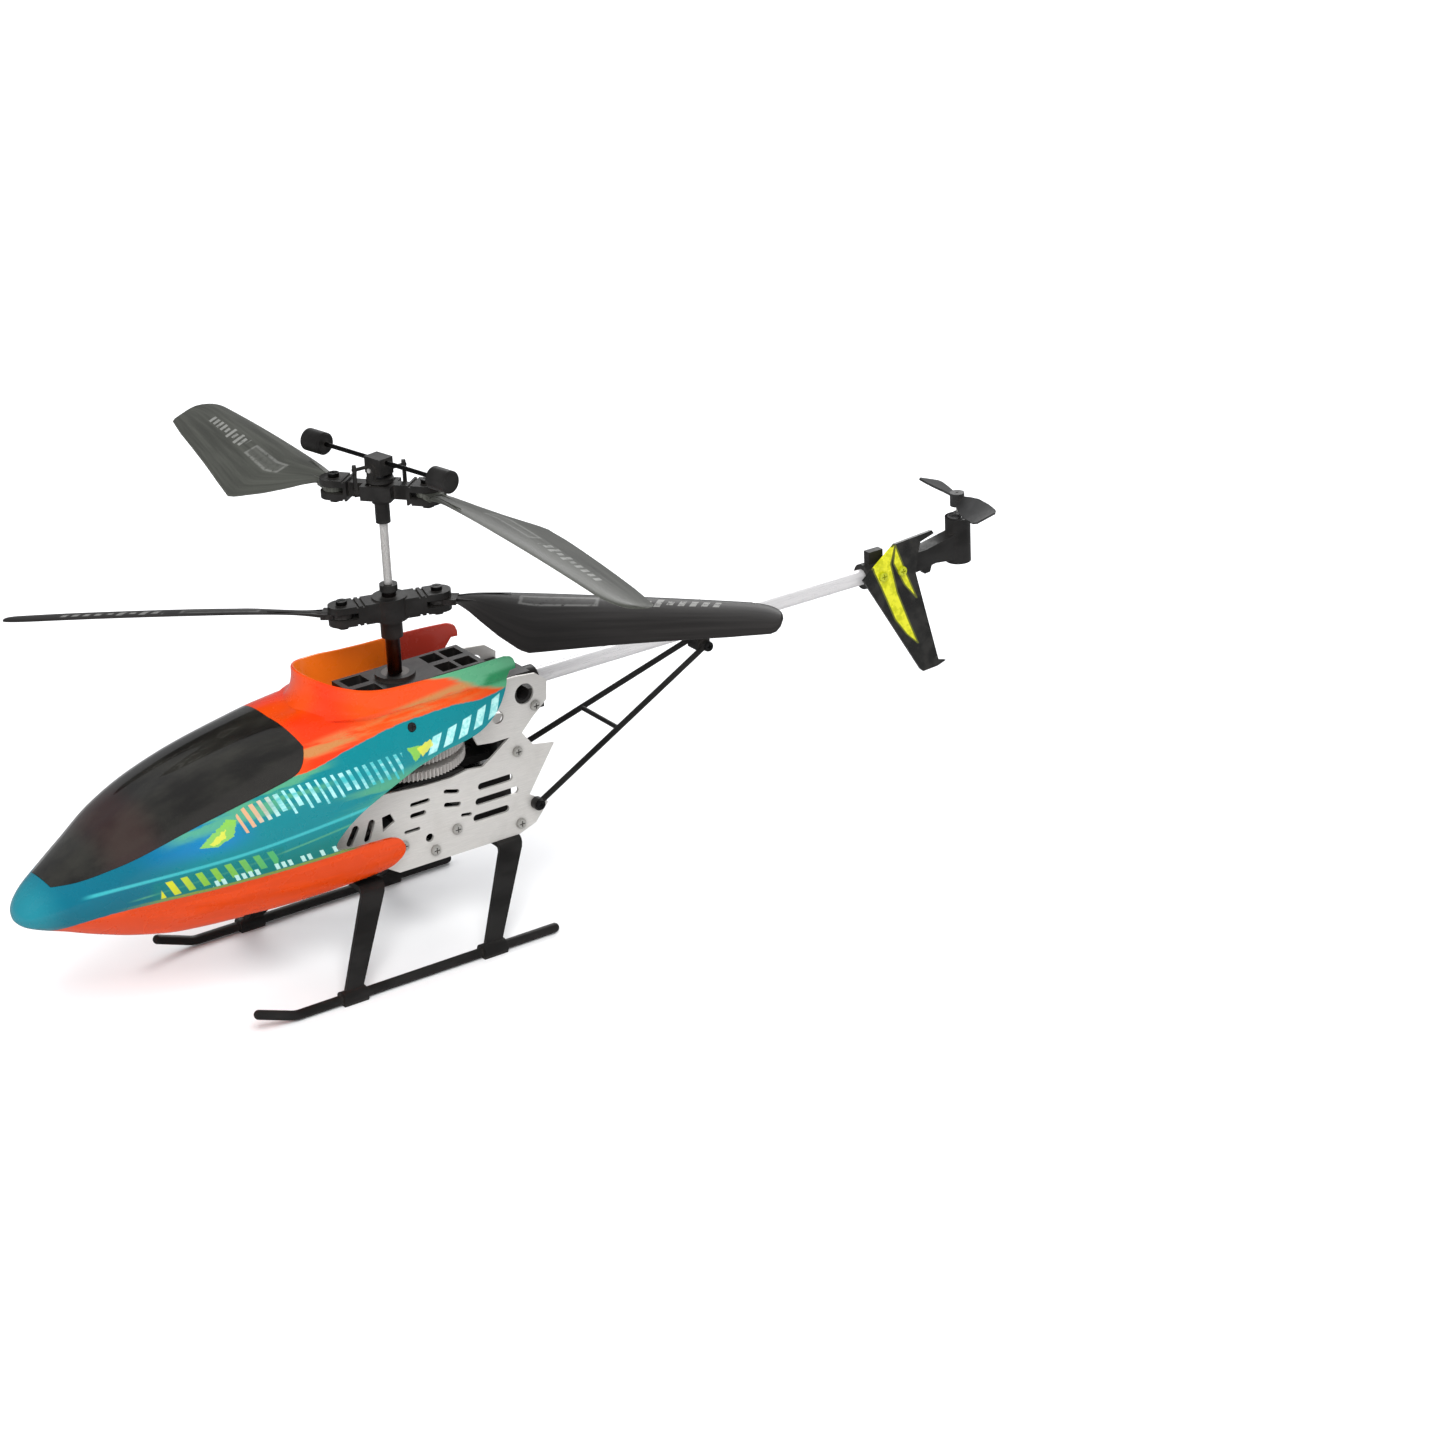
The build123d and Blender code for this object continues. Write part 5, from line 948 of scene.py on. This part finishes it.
def rotor_blade(name, bolt, azimuth, droop, hand, material, body, node):
    """One blade: cambered, twisted, with a rounded leading edge, a lug and two root ribs."""
    lead_at, trail_at = pchip(*zip(*BLADE_LEAD)), line_lookup(BLADE_TRAIL)
    xs = [5.0 + 0.5 * i for i in range(12)] + [11 + 1.5 * i for i in range(17)] + [36.4]
    xs += [38 + 2.5 * i for i in range(29)] + [110, 112, 114, 116, 117.5, 118.6, 119.5, 120.4, 121.0, 121.6, 122.0]
    xs = sorted(set(xs))
    loop = 11
    rings, uvs = [], []
    for x in xs:
        lead, trail = lead_at(x), trail_at(x)
        chord = lead - trail
        thick = (1.25 if x < 8 else 1.25 - 0.25 * min(1, (x - 8) / 20)) * min(1.0, 0.35 + chord / 14)
        camber, a = 0.05 * chord, radians(BLADE_PITCH(x))
        dip = -droop * x * x
        ring, uv = [], []
        fractions = [0.5 - 0.5 * cos(pi * i / (loop - 1)) for i in range(loop)]
        for side, order in ((1, fractions), (-1, fractions[-2:0:-1])):
            for f in order:
                half = thick * 0.5 * (min(1.0, 2.6 * sqrt(f)) if f < 0.16 else 1.0 - 0.62 * (f - 0.16) / 0.84)
                up = 4 * camber * f * (1 - f) * (0.62 + 0.76 * (1 - f)) / 1.0 * 0.9 + side * half
                ahead = lead - chord * f
                ring.append((x, hand * (ahead * cos(a) - up * sin(a)), ahead * sin(a) + up * cos(a) + dip))
                uv.append((x / 122.0, f))
        rings.append(ring)
        uvs += uv
    obj = rings_to_mesh(name, rings, material, sharp=28)
    parts = [obj]
    lug = tube(name + "_lug", [(0, 0, -1.0), (0, 0, -0.8), (0, 0, 0.8), (0, 0, 1.0)], [3.8, 4.0, 4.0, 3.8], material, 40)
    boolean(lug, tube("bore", [(0, 0, -3), (0, 0, 3)], 1.05, sides=24))
    neck = box(name + "_neck", (2.6, -3.4, -1.0), (7.2, 3.4, 1.0), material)
    parts += [lug, neck]
    for offset in (-1.6, 1.4):
        line = [(4.5, offset, 0.75), (9, offset * 1.1, 0.8), (16, offset * 1.3 - hand * 0.0, 0.9), (26, offset * 1.6, 1.1)]
        pts = []
        for x, y, z in curve_points(line, 4):
            lift = y * tan(radians(BLADE_PITCH(x))) if x > 6 else 0.0
            pts.append((x, hand * y, z + lift * 0.96 - 0.15))
        parts.append(tube(name + "_rib", pts, [0.55 - 0.4 * i / (len(pts) - 1) for i in range(len(pts))], material, 10))
    joined = join(name, parts)
    uv_layer = joined.data.uv_layers.new(name="UVMap")
    for loop_data in joined.data.loops:
        co = joined.data.vertices[loop_data.vertex_index].co / MM
        lead, trail = lead_at(max(5, co.x)), trail_at(max(5, co.x))
        a = radians(BLADE_PITCH(max(5, co.x)))
        ahead = hand * co.y / cos(a)
        uv_layer.data[loop_data.index].uv = (co.x / 122.0, (lead - ahead) / max(1.0, lead - trail))
    joined.matrix_world = Matrix.Translation(Vector(bolt) * MM) @ Matrix.Rotation(radians(azimuth), 4, "Z")
    joined.data.transform(joined.matrix_world)
    joined.matrix_world = Matrix.Identity(4)
    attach(joined, body)
    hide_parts(node)
    return joined


def join(name, objects):
    """One mesh from several, keeping their places."""
    bm = bmesh.new()
    for o in objects:
        bpy.context.view_layer.update()
        graph = bpy.context.evaluated_depsgraph_get()
        mesh = bpy.data.meshes.new_from_object(o.evaluated_get(graph))
        mesh.transform(o.matrix_world)
        bm.from_mesh(mesh)
        bpy.data.meshes.remove(mesh)
    mesh = bpy.data.meshes.new(name)
    bm.to_mesh(mesh)
    bm.free()
    material = objects[0].data.materials[0] if objects[0].data.materials else None
    for o in objects:
        bpy.data.objects.remove(o)
    obj = bpy.data.objects.new(name, mesh)
    bpy.context.scene.collection.objects.link(obj)
    if material:
        mesh.materials.append(material)
    smooth_by_angle(obj, 32)
    return obj


for label, node, body, z, grip, fold, droop, hand, skin in (
    ("lower_blade_a_skin", "lower_blade_a", "lower_wing_a", 92.0, 163.5, -26.0, 0.0002, 1, LOWER_BLADE),
    ("lower_blade_b_skin", "lower_blade_b", "lower_wing_b", 92.0, 343.5, -24.0, 0.0002, 1, LOWER_BLADE),
    ("upper_blade_a_skin", "upper_blade_a", "upper_wing_a", 135.5, 129.0, -39.0, 0.00035, -1, UPPER_BLADE),
    ("upper_blade_b_skin", "upper_blade_b", "upper_wing_b", 135.5, 309.0, -45.0, 0.00035, -1, UPPER_BLADE),
):
    bolt = (BOLT_R * cos(radians(grip)), BOLT_R * sin(radians(grip)), z)
    rotor_blade(label, bolt, grip + fold, droop, hand, skin, body, node)

# ---------------------------------------------------------------- camera, floor and light

camera_data = bpy.data.cameras.new("camera")
camera_data.lens = 103.0875
camera_data.sensor_width = 36.0
camera_data.clip_start = 0.05
camera = bpy.data.objects.new("camera", camera_data)
bpy.context.scene.collection.objects.link(camera)
AZ, EL, ROLL, DISTANCE = radians(146.156), radians(23.68), radians(-2.552), 1.48903
TARGET = Vector((-0.111946, 0.035741, 0.028982))
back = Vector((sin(AZ) * cos(EL), -cos(AZ) * cos(EL), sin(EL)))
right = (-back).cross(Vector((0, 0, 1))).normalized()
up = right.cross(-back)
right, up = right * cos(ROLL) + up * sin(ROLL), up * cos(ROLL) - right * sin(ROLL)
pose = Matrix((right, up, back)).transposed().to_4x4()
pose.translation = TARGET + back * DISTANCE
camera.matrix_world = pose
bpy.context.scene.camera = camera


def stage_floor():
    """A large flat pale floor under the helicopter; glossy rays see it darker."""
    p = Paint("floor_paper", Roughness=0.9, Specular_IOR_Level=0.1)
    vec, x, y, z = p.coords()
    fibre = p.noise(vec, 0.02, 3.0)
    paper = p.mix(fibre, (0.86, 0.86, 0.86), (0.9, 0.9, 0.9))
    in_reflection = p.node("ShaderNodeLightPath", out="Is Glossy Ray")
    p.set("Base Color", p.mix(in_reflection, paper, (0.24, 0.24, 0.24)))
    size = 9000.0
    verts = [(-size, -size, GROUND_Z - 0.02), (size, -size, GROUND_Z - 0.02), (size, size, GROUND_Z - 0.02), (-size, size, GROUND_Z - 0.02)]
    floor_obj = mesh_object("floor", verts, [(0, 1, 2, 3)], p.mat, smooth=False)


def area_light(name, position, target, size, power, colour=(1, 1, 1)):
    """A soft light aimed at a point."""
    data = bpy.data.lights.new(name, "AREA")
    data.shape = "RECTANGLE"
    data.size, data.size_y = size
    data.energy = power
    data.color = colour
    obj = bpy.data.objects.new(name, data)
    bpy.context.scene.collection.objects.link(obj)
    obj.location = position
    obj.rotation_euler = (Vector(target) - Vector(position)).to_track_quat("-Z", "Y").to_euler()
    return obj


stage_floor()
key = area_light("key", (0.5, 1.1, 1.5), (-0.05, 0, 0.03), (1.1, 0.9), 27)
fill = area_light("fill", (1.6, -0.2, 0.9), (0, 0, 0.03), (1.2, 1.2), 9)
key.visible_glossy = fill.visible_glossy = False
area_light("rim", (-1.1, -0.9, 1.0), (-0.05, 0, 0.05), (1.0, 0.7), 14)
world = bpy.data.worlds.new("studio")
world.use_nodes = True
tree = world.node_tree
path = tree.nodes.new("ShaderNodeLightPath")
level = tree.nodes.new("ShaderNodeMapRange")
level.inputs["To Min"].default_value = 0.85
level.inputs["To Max"].default_value = 0.2
tree.links.new(path.outputs["Is Glossy Ray"], level.inputs["Value"])
tree.nodes["Background"].inputs["Color"].default_value = (0.96, 0.97, 1.0, 1.0)
tree.links.new(level.outputs["Result"], tree.nodes["Background"].inputs["Strength"])
bpy.context.scene.world = world
bpy.context.scene.view_settings.view_transform = "Standard"
